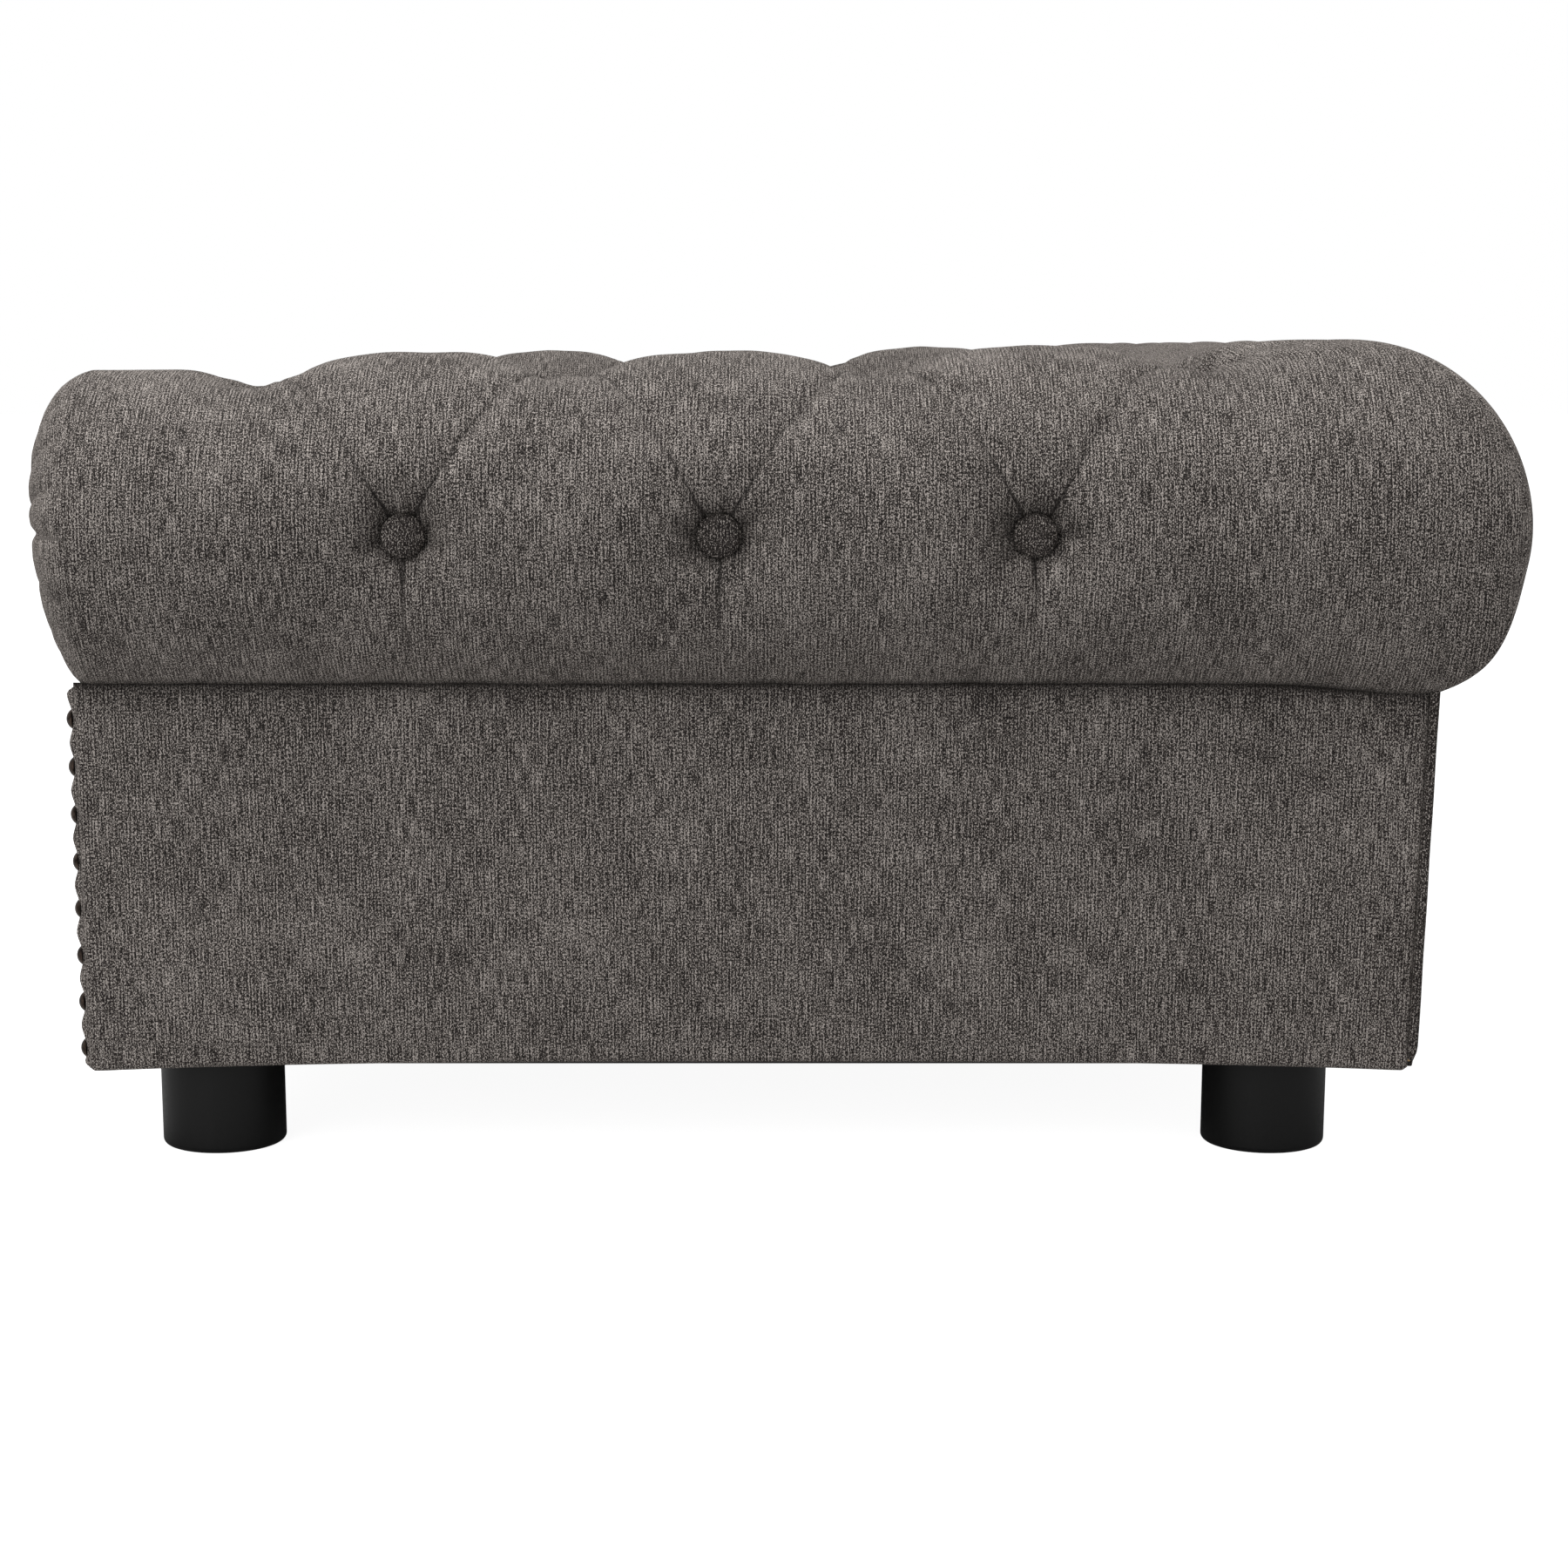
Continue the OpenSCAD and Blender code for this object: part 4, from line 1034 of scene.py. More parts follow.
        # The lining lies far outside the pleats
        around = np.concatenate([arcs, np.full(marks.shape[1] - len(arcs), 9.0)]) / self.roll.wall_s
        tuft = np.stack(np.broadcast_arrays(u, around), -1).reshape(-1, 2)
        points = np.zeros(len(piece.data.loops), np.int32)
        piece.data.loops.foreach_get("vertex_index", points)
        add_map(piece, "tuft", tuft[points])
        numbers = np.array(self.numbers)
        # The number "hollow" is painted shade
        mark_points(piece, pleat=numbers[:, :, 0], hollow=numbers[:, :, 1])
        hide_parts(node)
        return piece


@dataclass
class ArmPad(PaddedRoll):
    """One arm's tufted padding."""

    side: Side = Side.RIGHT
    # The tufting starts this far before the roll's front
    front_fade: float = 10 * MM

    def place(self, out: Grid, along: Grid | float, up: Grid) -> Grid:
        """Turns distances outward, along the roll and up from its axis into the frame."""
        r = self.roll
        return np.stack(np.broadcast_arrays(self.side.value * (r.arm_x + out), along, r.axis_z + up), -1)

    def rise(self, w: float) -> float:
        """How far the arm's top stands above the round section: less at the front, more at the back.

        Args:
            w: place along the arm.

        Returns:
            The height.
        """
        r = self.roll
        sink = -r.front_drop * (1 - float(smooth(r.front_y, r.arm_button_y - r.arm_pitch, w)))
        return sink + r.back_rise * float(smooth(r.arm_button_y, r.back_y, w))

    def build(self) -> Piece:
        """Makes the padding from the roll's front into its corner.

        Returns:
            The new piece.
        """
        r = self.roll
        start = r.back_y - r.radius - self.corner_reach
        full = self.tufting.top[0] - self.full_near
        for y in np.arange(r.front_y, start, self.step):
            self.straight_ring(y, float(smooth(r.front_y - self.front_fade, full, y)))
        straight = len(self.rings)
        for share in np.linspace(0, 1, self.corner_rings):
            self.corner_ring(float(share), start, r.back_y)
        return self.finish(f"{self.side.word}_arm_padding", f"{self.side.word}_arm_pad",
                           [(range(straight - 1, len(self.rings)), 1)])


@dataclass
class BackPad(PaddedRoll):
    """The back's tufted padding, from one corner to the other."""

    corner_reach: float = 14 * MM

    def place(self, out: Grid, along: Grid | float, up: Grid) -> Grid:
        """Turns distances outward, along the roll and up from its axis into the frame."""
        r = self.roll
        return np.stack(np.broadcast_arrays(along, r.back_y + out, r.axis_z + up), -1)

    def build(self) -> Piece:
        """Makes the padding from the right corner to the left one.

        Returns:
            The new piece.
        """
        r = self.roll
        start = r.arm_x - r.radius - self.corner_reach
        for share in np.linspace(1, 0, self.corner_rings):
            self.corner_ring(float(share), start, r.arm_x)
        for x in np.arange(start - self.step, -start, -self.step):
            self.straight_ring(x)
        for share in np.linspace(1, 0, self.corner_rings)[::-1]:
            self.corner_ring(float(share), start, r.arm_x, side=-1)
        bent, count = self.corner_rings, len(self.rings)
        return self.finish("back_padding", "back_pad",
                           [(range(bent, -1, -1), 1), (range(count - bent - 1, count), -1)])


@dataclass
class RollEnd:
    """The front of an arm roll: cloth gathered in pleats into a button."""

    roll: Roll
    side: Side
    pleats: int = 18
    # How unevenly the pleats are spaced, as a share of their pitch, and how unevenly deep they are
    spacing_play: float = 0.35
    depth_play: tuple[float, float] = (0.6, 1.25)
    pleat: float = 2.6 * MM
    crease_w: float = 2.4 * MM
    shoulder_reach: float = 7 * MM
    reach: float = 27 * MM
    lean: float = 5 * MM
    rows: int = 46
    around: int = 360
    # Share of the roll's radius, and share of the reach that the cloth stands forward there
    profile: tuple[tuple[float, float], ...] = (
        (1.0, 0.0), (1.0, 0.06), (0.99, 0.16), (0.965, 0.3), (0.93, 0.43), (0.88, 0.55), (0.81, 0.67),
        (0.73, 0.77), (0.65, 0.85), (0.56, 0.91), (0.48, 0.955), (0.40, 0.985), (0.33, 0.99), (0.27, 0.96),
        (0.22, 0.86), (0.185, 0.7), (0.05, 0.7))

    def gathers(self, turn: Grid) -> tuple[Grid, Grid]:
        """Unevenly spaced and unevenly deep pleats.

        Args:
            turn: angles round the roll.

        Returns:
            How far each angle is from its nearest pleat, and how deep that pleat is.
        """
        draw = np.random.default_rng(5 + self.side.value)
        shift = draw.uniform(-self.spacing_play, self.spacing_play, self.pleats)
        centres = (np.arange(self.pleats) + shift) * 2 * math.pi / self.pleats
        away = np.abs((turn[:, None] - centres[None, :] + math.pi) % (2 * math.pi) - math.pi)
        return away.min(1), draw.uniform(*self.depth_play, self.pleats)[away.argmin(1)]

    def build(self) -> Piece:
        """Makes the gathered end and hides the solid that it stands for.

        Returns:
            The new piece.
        """
        r = self.roll
        rows = np.array(self.profile)
        lengths = path_lengths(rows * (r.radius, self.reach))
        path = np.linspace(0, 1, self.rows)
        share = np.interp(path, lengths / lengths[-1], rows[:, 0])
        forward = np.interp(path, lengths / lengths[-1], rows[:, 1])
        turn = circle(self.around)
        nearest, strength = self.gathers(turn)
        drop = 1 - np.where(np.sin(turn) > 0, r.front_drop, r.under_lift) / r.radius
        rings, cloth = [], []
        for q, k, f in zip(path, share, forward):
            beside = nearest * max(k, 0.16) * r.radius
            groove = 1.15 * bell(beside, self.crease_w) + 0.8 * np.exp(-beside / self.shoulder_reach)
            # Pleats grow from the rim and ease off next to the button
            grow = float(smooth(0.0, 0.22, q)) * (1 - 0.5 * float(smooth(0.72, 0.95, q)))
            inward = self.pleat * grow * strength * groove
            radial = r.radius * k - inward * (0.25 + 0.75 * k)
            lean = self.lean * (1 - np.sin(turn)) / 2 * float(smooth(0.17, 0.36, k))
            out = r.front_y - f * (self.reach - lean) + inward * float(smooth(0.15, 0.6, q)) * 0.5
            rings.append(np.column_stack([self.side.value * (r.arm_x + radial * np.cos(turn)), out,
                                          r.axis_z + radial * np.sin(turn) * drop]))
            along = r.front_y - q * lengths[-1]
            cloth.append(np.column_stack([np.full_like(turn, along), turn * r.radius]))
        piece = ring_skin(f"{self.side.word}_gathered_end", np.array(rings), np.array(cloth))
        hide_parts(f"{self.side.word}_roll_end")
        return piece


@dataclass
class CoveredButtons:
    """Domed buttons covered in the same cloth, with the cover's folds at the rim."""

    height: float = 6 * MM
    segments: int = 28
    folds: int = 9
    fold: float = 0.012
    # Share of the radius, and share of the height there
    profile: tuple[tuple[float, float], ...] = (
        (0.86, 0.0), (0.97, 0.1), (1.0, 0.25), (0.985, 0.42), (0.93, 0.58), (0.82, 0.72), (0.66, 0.84),
        (0.46, 0.93), (0.24, 0.985), (0.05, 1.0))

    def rings(self, radius: float) -> tuple[Grid, Grid]:
        """Rings of one button along its own axis: a rounded rim and a low dome.

        Args:
            radius: the button's radius.

        Returns:
            The rings as (ring, point, 3) with +Z out of the cloth, and their cloth places.
        """
        turn = circle(self.segments)
        rings, cloth = [], []
        for share, lift in self.profile:
            tuck = 1 + self.fold * np.cos(turn * self.folds + share * 3) * (share > 0.9)
            x, y = radius * share * tuck * np.cos(turn), radius * share * tuck * np.sin(turn)
            rings.append(np.column_stack([x, y, np.full_like(turn, lift * self.height)]))
            cloth.append(np.column_stack([x * 1.1, y * 1.1]))
        return np.array(rings), np.array(cloth)

    def build(self, name: str, node: str, places: Sequence[Seat]) -> Piece:
        """Makes one piece with a button at each place and hides the solid that it stands for.

        Args:
            name: the piece's name.
            node: the solid's name.
            places: for each button its seat, the direction it faces and its radius.

        Returns:
            The new piece.
        """
        points, faces, cloth, first = [], [], [], 0
        for seat, facing, radius in places:
            rings, marks = self.rings(radius)
            turn = facing.to_track_quat("Z", "Y").to_matrix()
            flat = rings.reshape(-1, 3) @ np.array(turn).T + np.array(seat)
            count, size = rings.shape[:2]
            own = grid_faces(count, size, True).tolist() + end_caps(count, size)
            faces += [[v + first for v in face] for face in own]
            points.append(flat)
            # Each button is cut from its own place in the cloth
            cloth.append(marks.reshape(-1, 2) + 0.05 * len(points))
            first += len(flat)
        piece = make_piece(name, np.concatenate(points), faces, np.concatenate(cloth))
        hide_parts(node)
        return piece


@dataclass
class TuftedRolls:
    """The tufted rolls with their gathered ends and covered buttons."""

    roll: Roll
    finishes: Finishes

    def __post_init__(self) -> None:
        """Works out the rows of buttons: each top row lies half a pitch beside the outer one."""
        middle, pitch = self.roll.arm_button_y, self.roll.arm_pitch
        self.arm_outer = [middle + k * pitch for k in (-1, 0, 1)]
        self.arm_top = [middle + k * pitch for k in (-1.5, -0.5, 0.5, 1.5)]
        self.back_outer = [k * self.roll.back_pitch for k in (-2, -1, 0, 1, 2)]
        self.back_top = [k * self.roll.back_pitch for k in (-2.5, -1.5, -0.5, 0.5, 1.5, 2.5)]
        self.seat = self.roll.radius - self.roll.button_sink

    def top_button(self, x: float, y: float, rise: float) -> Seat:
        """The place of a button in a top row.

        Args:
            x: its place along the sofa.
            y: its place from front to back.
            rise: how far the roll stands above its round section there.

        Returns:
            The button's seat, the direction it faces and its radius.
        """
        r = self.roll
        up = self.seat * (1 + rise / r.radius)
        return Vector((x, y, r.axis_z + up)), Vector((0, 0, 1)), r.button_radius

    def side_buttons(self, x: float, y: float, outward: tuple[int, int]) -> list[Seat]:
        """The places of an outer button and of the inner one opposite.

        Args:
            x: the buttons' or the roll's place along the sofa.
            y: the roll's or the buttons' place from front to back.
            outward: the direction that the outer button faces, in plan.

        Returns:
            Each button's seat, the direction it faces and its radius.
        """
        axis = Vector((x, y, self.roll.axis_z))
        ways = [Vector((way * outward[0], way * outward[1], 0)) for way in (1, -1)]
        return [(axis + facing * self.seat, facing, self.roll.button_radius) for facing in ways]

    def arm_buttons(self, side: Side, pad: ArmPad) -> Piece:
        """The buttons of one arm, each seated on the floor of its dimple.

        Args:
            side: the arm's side.
            pad: the arm's padding.

        Returns:
            The new piece.
        """
        x, places = side.value * self.roll.arm_x, []
        for y in self.arm_outer:
            places += self.side_buttons(x, y, (side.value, 0))
        places += [self.top_button(x, y, pad.rise(y)) for y in self.arm_top]
        name = f"{side.word}_arm"
        return CoveredButtons().build(f"{name}_covered_buttons", f"{name}_buttons", places)

    def back_buttons(self) -> Piece:
        """The buttons of the back.

        Returns:
            The new piece.
        """
        y, places = self.roll.back_y, []
        for x in self.back_outer:
            places += self.side_buttons(x, y, (0, 1))
        places += [self.top_button(x, y, self.roll.back_rise) for x in self.back_top]
        return CoveredButtons().build("back_covered_buttons", "back_buttons", places)

    def end_button(self, side: Side) -> Piece:
        """The larger button that holds the gathers of a roll end.

        Args:
            side: the arm's side.

        Returns:
            The new piece.
        """
        low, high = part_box(f"{side.word}_end_button")
        seat = Vector((side.value * self.roll.arm_x, high.y, self.roll.axis_z))
        place = (seat, Vector((0, -1, 0)), (high.z - low.z) / 2)
        return CoveredButtons().build(f"{side.word}_gather_button", f"{side.word}_end_button", [place])

    def build(self) -> None:
        f, r = self.finishes, self.roll
        soft, buttons = [], [self.back_buttons()]
        for side in Side:
            tufting = Tufting(r, self.arm_outer, self.arm_top, r.arm_pitch, seed=11 + side.value)
            pad = ArmPad(r, tufting, side=side)
            soft += [(pad.build(), f.tufted), (RollEnd(r, side).build(), f.chenille)]
            buttons += [self.arm_buttons(side, pad), self.end_button(side)]
        back = Tufting(r, self.back_outer, self.back_top, r.back_pitch, seed=17)
        soft.append((BackPad(r, back).build(), f.tufted))
        for piece, material in soft:
            declare(piece, material, SOFA)
        for piece in buttons:
            declare(piece, f.tight, SOFA)


# Upholstered panels


def sheet_faces(rows: int, columns: int) -> list[list[int]]:
    """Faces of a thin closed form: a front grid, the same grid behind it, and the rim between them.

    Args:
        rows: number of rows of each grid.
        columns: number of points in a row.

    Returns:
        The point numbers of each face; the back grid's points follow the front grid's.
    """
    half = rows * columns
    front = grid_faces(rows, columns, False)
    numbers = np.arange(half).reshape(rows, columns)
    rim = [numbers[:, 0], numbers[-1, 1:], numbers[-2::-1, -1], numbers[0, -2:0:-1]]
    edge = np.concatenate(rim).tolist()
    sides = [[v, w, w + half, v + half] for v, w in zip(edge, edge[1:] + edge[:1])]
    return front.tolist() + (front[:, ::-1] + half).tolist() + sides


def level(height: float) -> Callable[[Grid], Grid]:
    """The straight edge of a panel at a height."""
    return lambda a: np.full_like(a, height)


def arched(foot: float, rise: float, middle: float, half: float, power: int) -> Callable[[Grid], Grid]:
    """The lower edge of a panel, which arches between the feet.

    Args:
        foot: its height at both ends.
        rise: how far it arches.
        middle: where it stands highest.
        half: half its length.
        power: how flat the arch is.

    Returns:
        The edge's height for places along the panel.
    """
    return lambda a: foot + rise * (1 - np.abs((a - middle) / half) ** power)


def at_front(y: float, sign: int = 1) -> Callable[[Grid, Grid, Grid], Grid]:
    """Stands a panel's own coordinates at the sofa's front.

    Args:
        y: the place of its back.
        sign: -1 where it is mirrored.

    Returns:
        What turns (across, up, out) into the frame.
    """
    return lambda a, up, out: np.stack([sign * a, y - out, up], -1)


@dataclass
class Panel:
    """A flat upholstered board: cloth over thin wadding, with soft edges and a little unevenness.

    across and up are the panel's own coordinates; place turns (across, up, out) into the frame.
    """

    name: str
    node: str
    across: tuple[float, float]
    lower: Callable[[Grid], Grid]
    upper: Callable[[Grid], Grid]
    thick: float
    place: Callable[[Grid, Grid, Grid], Grid]
    seed: int
    edge: float = 3 * MM
    crown: float = 1.2 * MM
    crown_reach: float = 25 * MM
    uneven: float = 0.45 * MM
    uneven_size: float = 70 * MM
    step: float = 4 * MM
    # How far the two lower corners are drawn up
    corner: float = 0.0
    relief: Callable[[Grid, Grid], Grid] | None = None
    # Shade on the cloth under its upper edge, where a roll lies over it
    shaded: float = 0.0
    shade_reach: float = 3.5 * MM

    def marks(self, low: float, high: float) -> Grid:
        """Places along one direction, closer together near both edges.

        Args:
            low: the first edge.
            high: the last edge.

        Returns:
            The places.
        """
        count = max(8, int((high - low) / self.step))
        inner = np.linspace(low + self.edge, high - self.edge, count)
        near = self.edge * (1 - np.cos(np.linspace(0, math.pi / 2, 6)[:-1]))
        return np.concatenate([low + near, inner, high - near[::-1]])

    def build(self) -> Piece:
        """Makes the panel as a closed form and hides the solid that it stands for.

        Returns:
            The new piece.
        """
        low, high = self.across
        a = self.marks(low, high)
        mean_height = float(np.mean(self.upper(a) - self.lower(a)))
        grid_a, grid_t = np.meshgrid(a, self.marks(0.0, mean_height) / mean_height, indexing="ij")
        bottom, top = self.lower(grid_a), self.upper(grid_a)
        up = bottom + (top - bottom) * grid_t
        gaps = np.stack([grid_a - low, high - grid_a, up - bottom, top - up], -1)
        to_edge = gaps.min(-1)
        if self.corner:
            drawn = (1 - smooth(0, self.corner * 2.2, gaps[..., :2].min(-1))) ** 2
            up = up + self.corner * drawn * (1 - grid_t) ** 6
            gaps = np.stack([grid_a - low, high - grid_a, up - bottom, top - up], -1)
        near = np.clip(to_edge / self.edge, 0, 1)
        rounding = self.edge * (1 - np.sqrt(np.clip(1 - (1 - near) ** 2, 0, 1)))
        swell = self.crown * np.clip(to_edge / self.crown_reach, 0, 1) ** 0.5
        rough = self.uneven * ripple(grid_a, up, self.uneven_size, self.seed)
        if self.relief:
            rough = rough + self.relief(grid_a, up)
        front = self.place(grid_a, up, self.thick - rounding + swell + rough * near)
        back = self.place(grid_a, up, np.zeros_like(up))
        # The cloth runs on over the rounded edge and the board's thickness
        ways = np.array([[-1.0, 0.0], [1.0, 0.0], [0.0, -1.0], [0.0, 1.0]])[gaps.argmin(-1)]
        cloth = np.stack([grid_a, up], -1) + ways * rounding[..., None]
        wrapped = cloth + ways * self.thick
        piece = make_piece(self.name, np.stack([front, back]).reshape(-1, 3), sheet_faces(*grid_a.shape),
                           np.stack([cloth, wrapped]).reshape(-1, 2))
        # Painted shade under the upper edge, where the roll lies over it, stored as the number "hollow"
        shade = self.shaded * np.exp(-(top - up) / self.shade_reach)
        mark_points(piece, hollow=np.stack([shade, shade]))
        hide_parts(self.node)
        return piece


def tube(name: str, path: Grid, radius: Callable[[Grid], Grid], segments: int = 14) -> Piece:
    """A closed tube along a path, with a cloth map that runs along it.

    Args:
        name: the piece's name.
        path: array of points.
        radius: the tube's radius for each share of its length, 0 to 1.
        segments: points round the tube.

    Returns:
        The new piece.
    """
    ahead = np.gradient(path, axis=0)
    ahead /= np.linalg.norm(ahead, axis=1)[:, None]
    run = path_lengths(path)
    guide = np.array([0.0, 0.0, 1.0]) if abs(ahead[0][2]) < 0.9 else np.array([1.0, 0.0, 0.0])
    turn = circle(segments)
    rings, cloth = [], []
    for p, d, s, r in zip(path, ahead, run, radius(run / run[-1])):
        side = np.cross(d, guide)
        side /= np.linalg.norm(side)
        rings.append(p + r * (np.cos(turn)[:, None] * side + np.sin(turn)[:, None] * np.cross(side, d)))
        cloth.append(np.column_stack([turn * r, np.full_like(turn, s)]))
    return ring_skin(name, np.array(rings), np.array(cloth))


@dataclass
class Shell:
    """The flat upholstery round the base: sides, back, front apron and facings, with their piping."""

    roll: Roll
    finishes: Finishes
    nodes: dict[str, Piece]
    board: float = 2 * MM
    front_wrap: float = 8.6 * MM
    rear_wrap: float = 1.6 * MM
    # The rear edge stands this much further back at its top than at its foot
    spread: float = 3.2 * MM
    # Where the side panel's foot starts, how far it arches, and how far its top goes under the roll
    side_foot: float = -1.2 * MM
    side_arch: float = 4 * MM
    side_tuck: float = 3.6 * MM
    back_arch: float = 2.2 * MM
    back_tuck: float = 2.4 * MM
    front_arch: float = 1.5 * MM
    # A facing swells between its nails
    stuffing: float = 2.8 * MM
    nail_reach: float = 7.5 * MM
    welt_tuck: float = 3.8 * MM
    wobble: float = 0.35 * MM

    def lean(self, up: Grid, low: float, high: float) -> Grid:
        """How far the rear edge stands back at a height.

        Args:
            up: heights.
            low: the foot's height.
            high: the top's height.

        Returns:
            The distance at each height.
        """
        return self.spread * ((up - low) / (high - low) - 0.35)

    def side_cover(self, side: Side) -> Piece:
        """The flat panel under an arm, a little narrower at its foot.

        Args:
            side: the arm's side.

        Returns:
            The new piece.
        """
        low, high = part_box(f"{side.word}_side_cover")
        face = max(abs(low.x), abs(high.x)) - self.board
        middle, half = (low.y + high.y) / 2, (high.y - low.y) / 2
        lower = arched(low.z + self.side_foot, self.side_arch, middle, half, power=3)

        def upper(a: Grid) -> Grid:
            """The top's height, which is plain near the rear edge."""
            return high.z + self.side_tuck * (1 - smooth(high.y - 80 * MM, high.y - 15 * MM, a))

        def place(a: Grid, up: Grid, out: Grid) -> Grid:
            """Stands the panel at the sofa's end, leaning at its rear edge."""
            spread = self.lean(up, low.z, high.z) * smooth(high.y - 120 * MM, high.y, a)
            return np.stack([side.value * (face + out), a + spread, up], -1)

        return Panel(f"{side.word}_side_panel", f"{side.word}_side_cover",
                     (low.y - self.front_wrap, high.y + self.rear_wrap), lower, upper, self.board, place,
                     seed=21 + side.value, edge=2.4 * MM, corner=1.6 * MM, shaded=0.9).build()

    def back_cover(self) -> Piece:
        """The plain panel across the rear.

        Returns:
            The new piece.
        """
        low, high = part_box("back_cover")

        def place(a: Grid, up: Grid, out: Grid) -> Grid:
            """Stands the panel at the rear, leaning with the side panels' edges."""
            lean = self.lean(up, low.z, high.z) * (out > 0)
            return np.stack([a, high.y - self.board + out + lean, up], -1)

        return Panel("rear_panel", "back_cover", (low.x - 2 * MM, high.x + 2 * MM),
                     arched(low.z, self.back_arch, 0.0, high.x, power=4), level(high.z + self.back_tuck),
                     self.board, place, seed=31, edge=2.4 * MM, corner=2 * MM, shaded=0.9).build()

    def apron(self) -> Piece:
        """The padded front rail under the cushion."""
        low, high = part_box("front_apron")
        return Panel("front_apron_padding", "front_apron", (low.x - 3 * MM, high.x + 3 * MM),
                     arched(low.z, self.front_arch, 0.0, high.x, power=4), level(high.z),
                     high.y - low.y - 1.2 * MM, at_front(high.y), seed=41, edge=7 * MM,
                     crown=1.6 * MM).build()

    def nail_places(self, side: Side) -> list[tuple[float, float]]:
        """Where the nails of a facing sit, found from their highest points.

        Args:
            side: the facing's side.

        Returns:
            The distance from the sofa's middle and the height of each nail.
        """
        mesh = self.nodes[f"{side.word}_facing_nails"].data
        points = np.zeros(len(mesh.vertices) * 3)
        mesh.vertices.foreach_get("co", points)
        points = points.reshape(-1, 3)
        tips = points[points[:, 1] < points[:, 1].min() + 0.2 * MM]
        found: list[tuple[float, float]] = []
        for x, _, z in np.abs(tips):
            if all(math.hypot(x - a, z - b) > 6 * MM for a, b in found):
                found.append((x, z))
        return found

    def facing(self, side: Side) -> Piece:
        """The board under a roll end, hollowed to fit round it.

        Args:
            side: the arm's side.

        Returns:
            The new piece.
        """
        r = self.roll
        low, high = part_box(f"{side.word}_facing")
        near, wide = min(abs(low.x), abs(high.x)), max(abs(low.x), abs(high.x)) - 2.1 * MM
        hollow = r.radius + 0.3 * MM
        raised = 1 - r.under_lift / r.radius
        outer_top = r.axis_z - raised * r.radius * math.sin(r.tuck_turn)
        inner_top = high.z - 14 * MM
        nails = self.nail_places(side)

        def upper(a: Grid) -> Grid:
            """The roll's lower outline or the tops of the horns beside it, whichever is lower.

            Args:
                a: distances from the sofa's middle.

            Returns:
                The top's height, with a soft change from one to the other.
            """
            reach = np.sqrt(np.clip(hollow**2 - (a - r.arm_x) ** 2, 0, None))
            cap = np.where(a > r.arm_x, outer_top, inner_top)
            round_off = np.where(a > r.arm_x, 0.2 * MM, 3 * MM)
            return -round_off * np.logaddexp(-(r.axis_z - raised * reach) / round_off, -cap / round_off)

        def pressed(a: Grid, up: Grid) -> Grid:
            """The stuffing's height, which the nails press down."""
            away = np.min([np.hypot(a - x, up - z) for x, z in nails], axis=0)
            return self.stuffing * (1 - bell(away, self.nail_reach))

        return Panel(f"{side.word}_facing_board", f"{side.word}_facing", (near, wide), level(low.z), upper,
                     high.y - low.y, at_front(high.y, side.value), seed=51 + side.value, edge=2.6 * MM,
                     crown=0.0, step=2 * MM, relief=pressed).build()

    def rear_welt(self, side: Side) -> Piece:
        """The welt down a rear corner, tucked under at its foot.

        Args:
            side: the corner's side.

        Returns:
            The new piece.
        """
        low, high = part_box(f"{side.word}_rear_piping")
        x, y, radius = (low.x + high.x) / 2, (low.y + high.y) / 2, (high.x - low.x) / 2
        t = np.linspace(0, 1, 70)
        tuck = smooth(0.94, 1.0, t)
        spread = self.spread * (0.65 - t) * (1 - tuck)
        wobble = self.wobble * np.sin(t * 23 + side.value)
        path = np.column_stack([x - side.value * 4 * MM * tuck + wobble,
                                y - 0.7 * MM + spread - 1.5 * MM * tuck,
                                high.z + self.welt_tuck + (low.z - 3 * MM - high.z) * t])
        piece = tube(f"{side.word}_corner_welt", path,
                     lambda share: radius * (1 - 0.35 * smooth(0.95, 1.0, share)))
        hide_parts(f"{side.word}_rear_piping")
        return piece

    def build(self) -> None:
        """Makes, dresses and declares all the flat upholstery."""
        panels = [self.back_cover(), self.apron()]
        for side in Side:
            panels += [self.side_cover(side), self.facing(side)]
            declare(self.rear_welt(side), self.finishes.tight, SOFA)
        for piece in panels:
            declare(piece, self.finishes.chenille, SOFA)


# Cushion


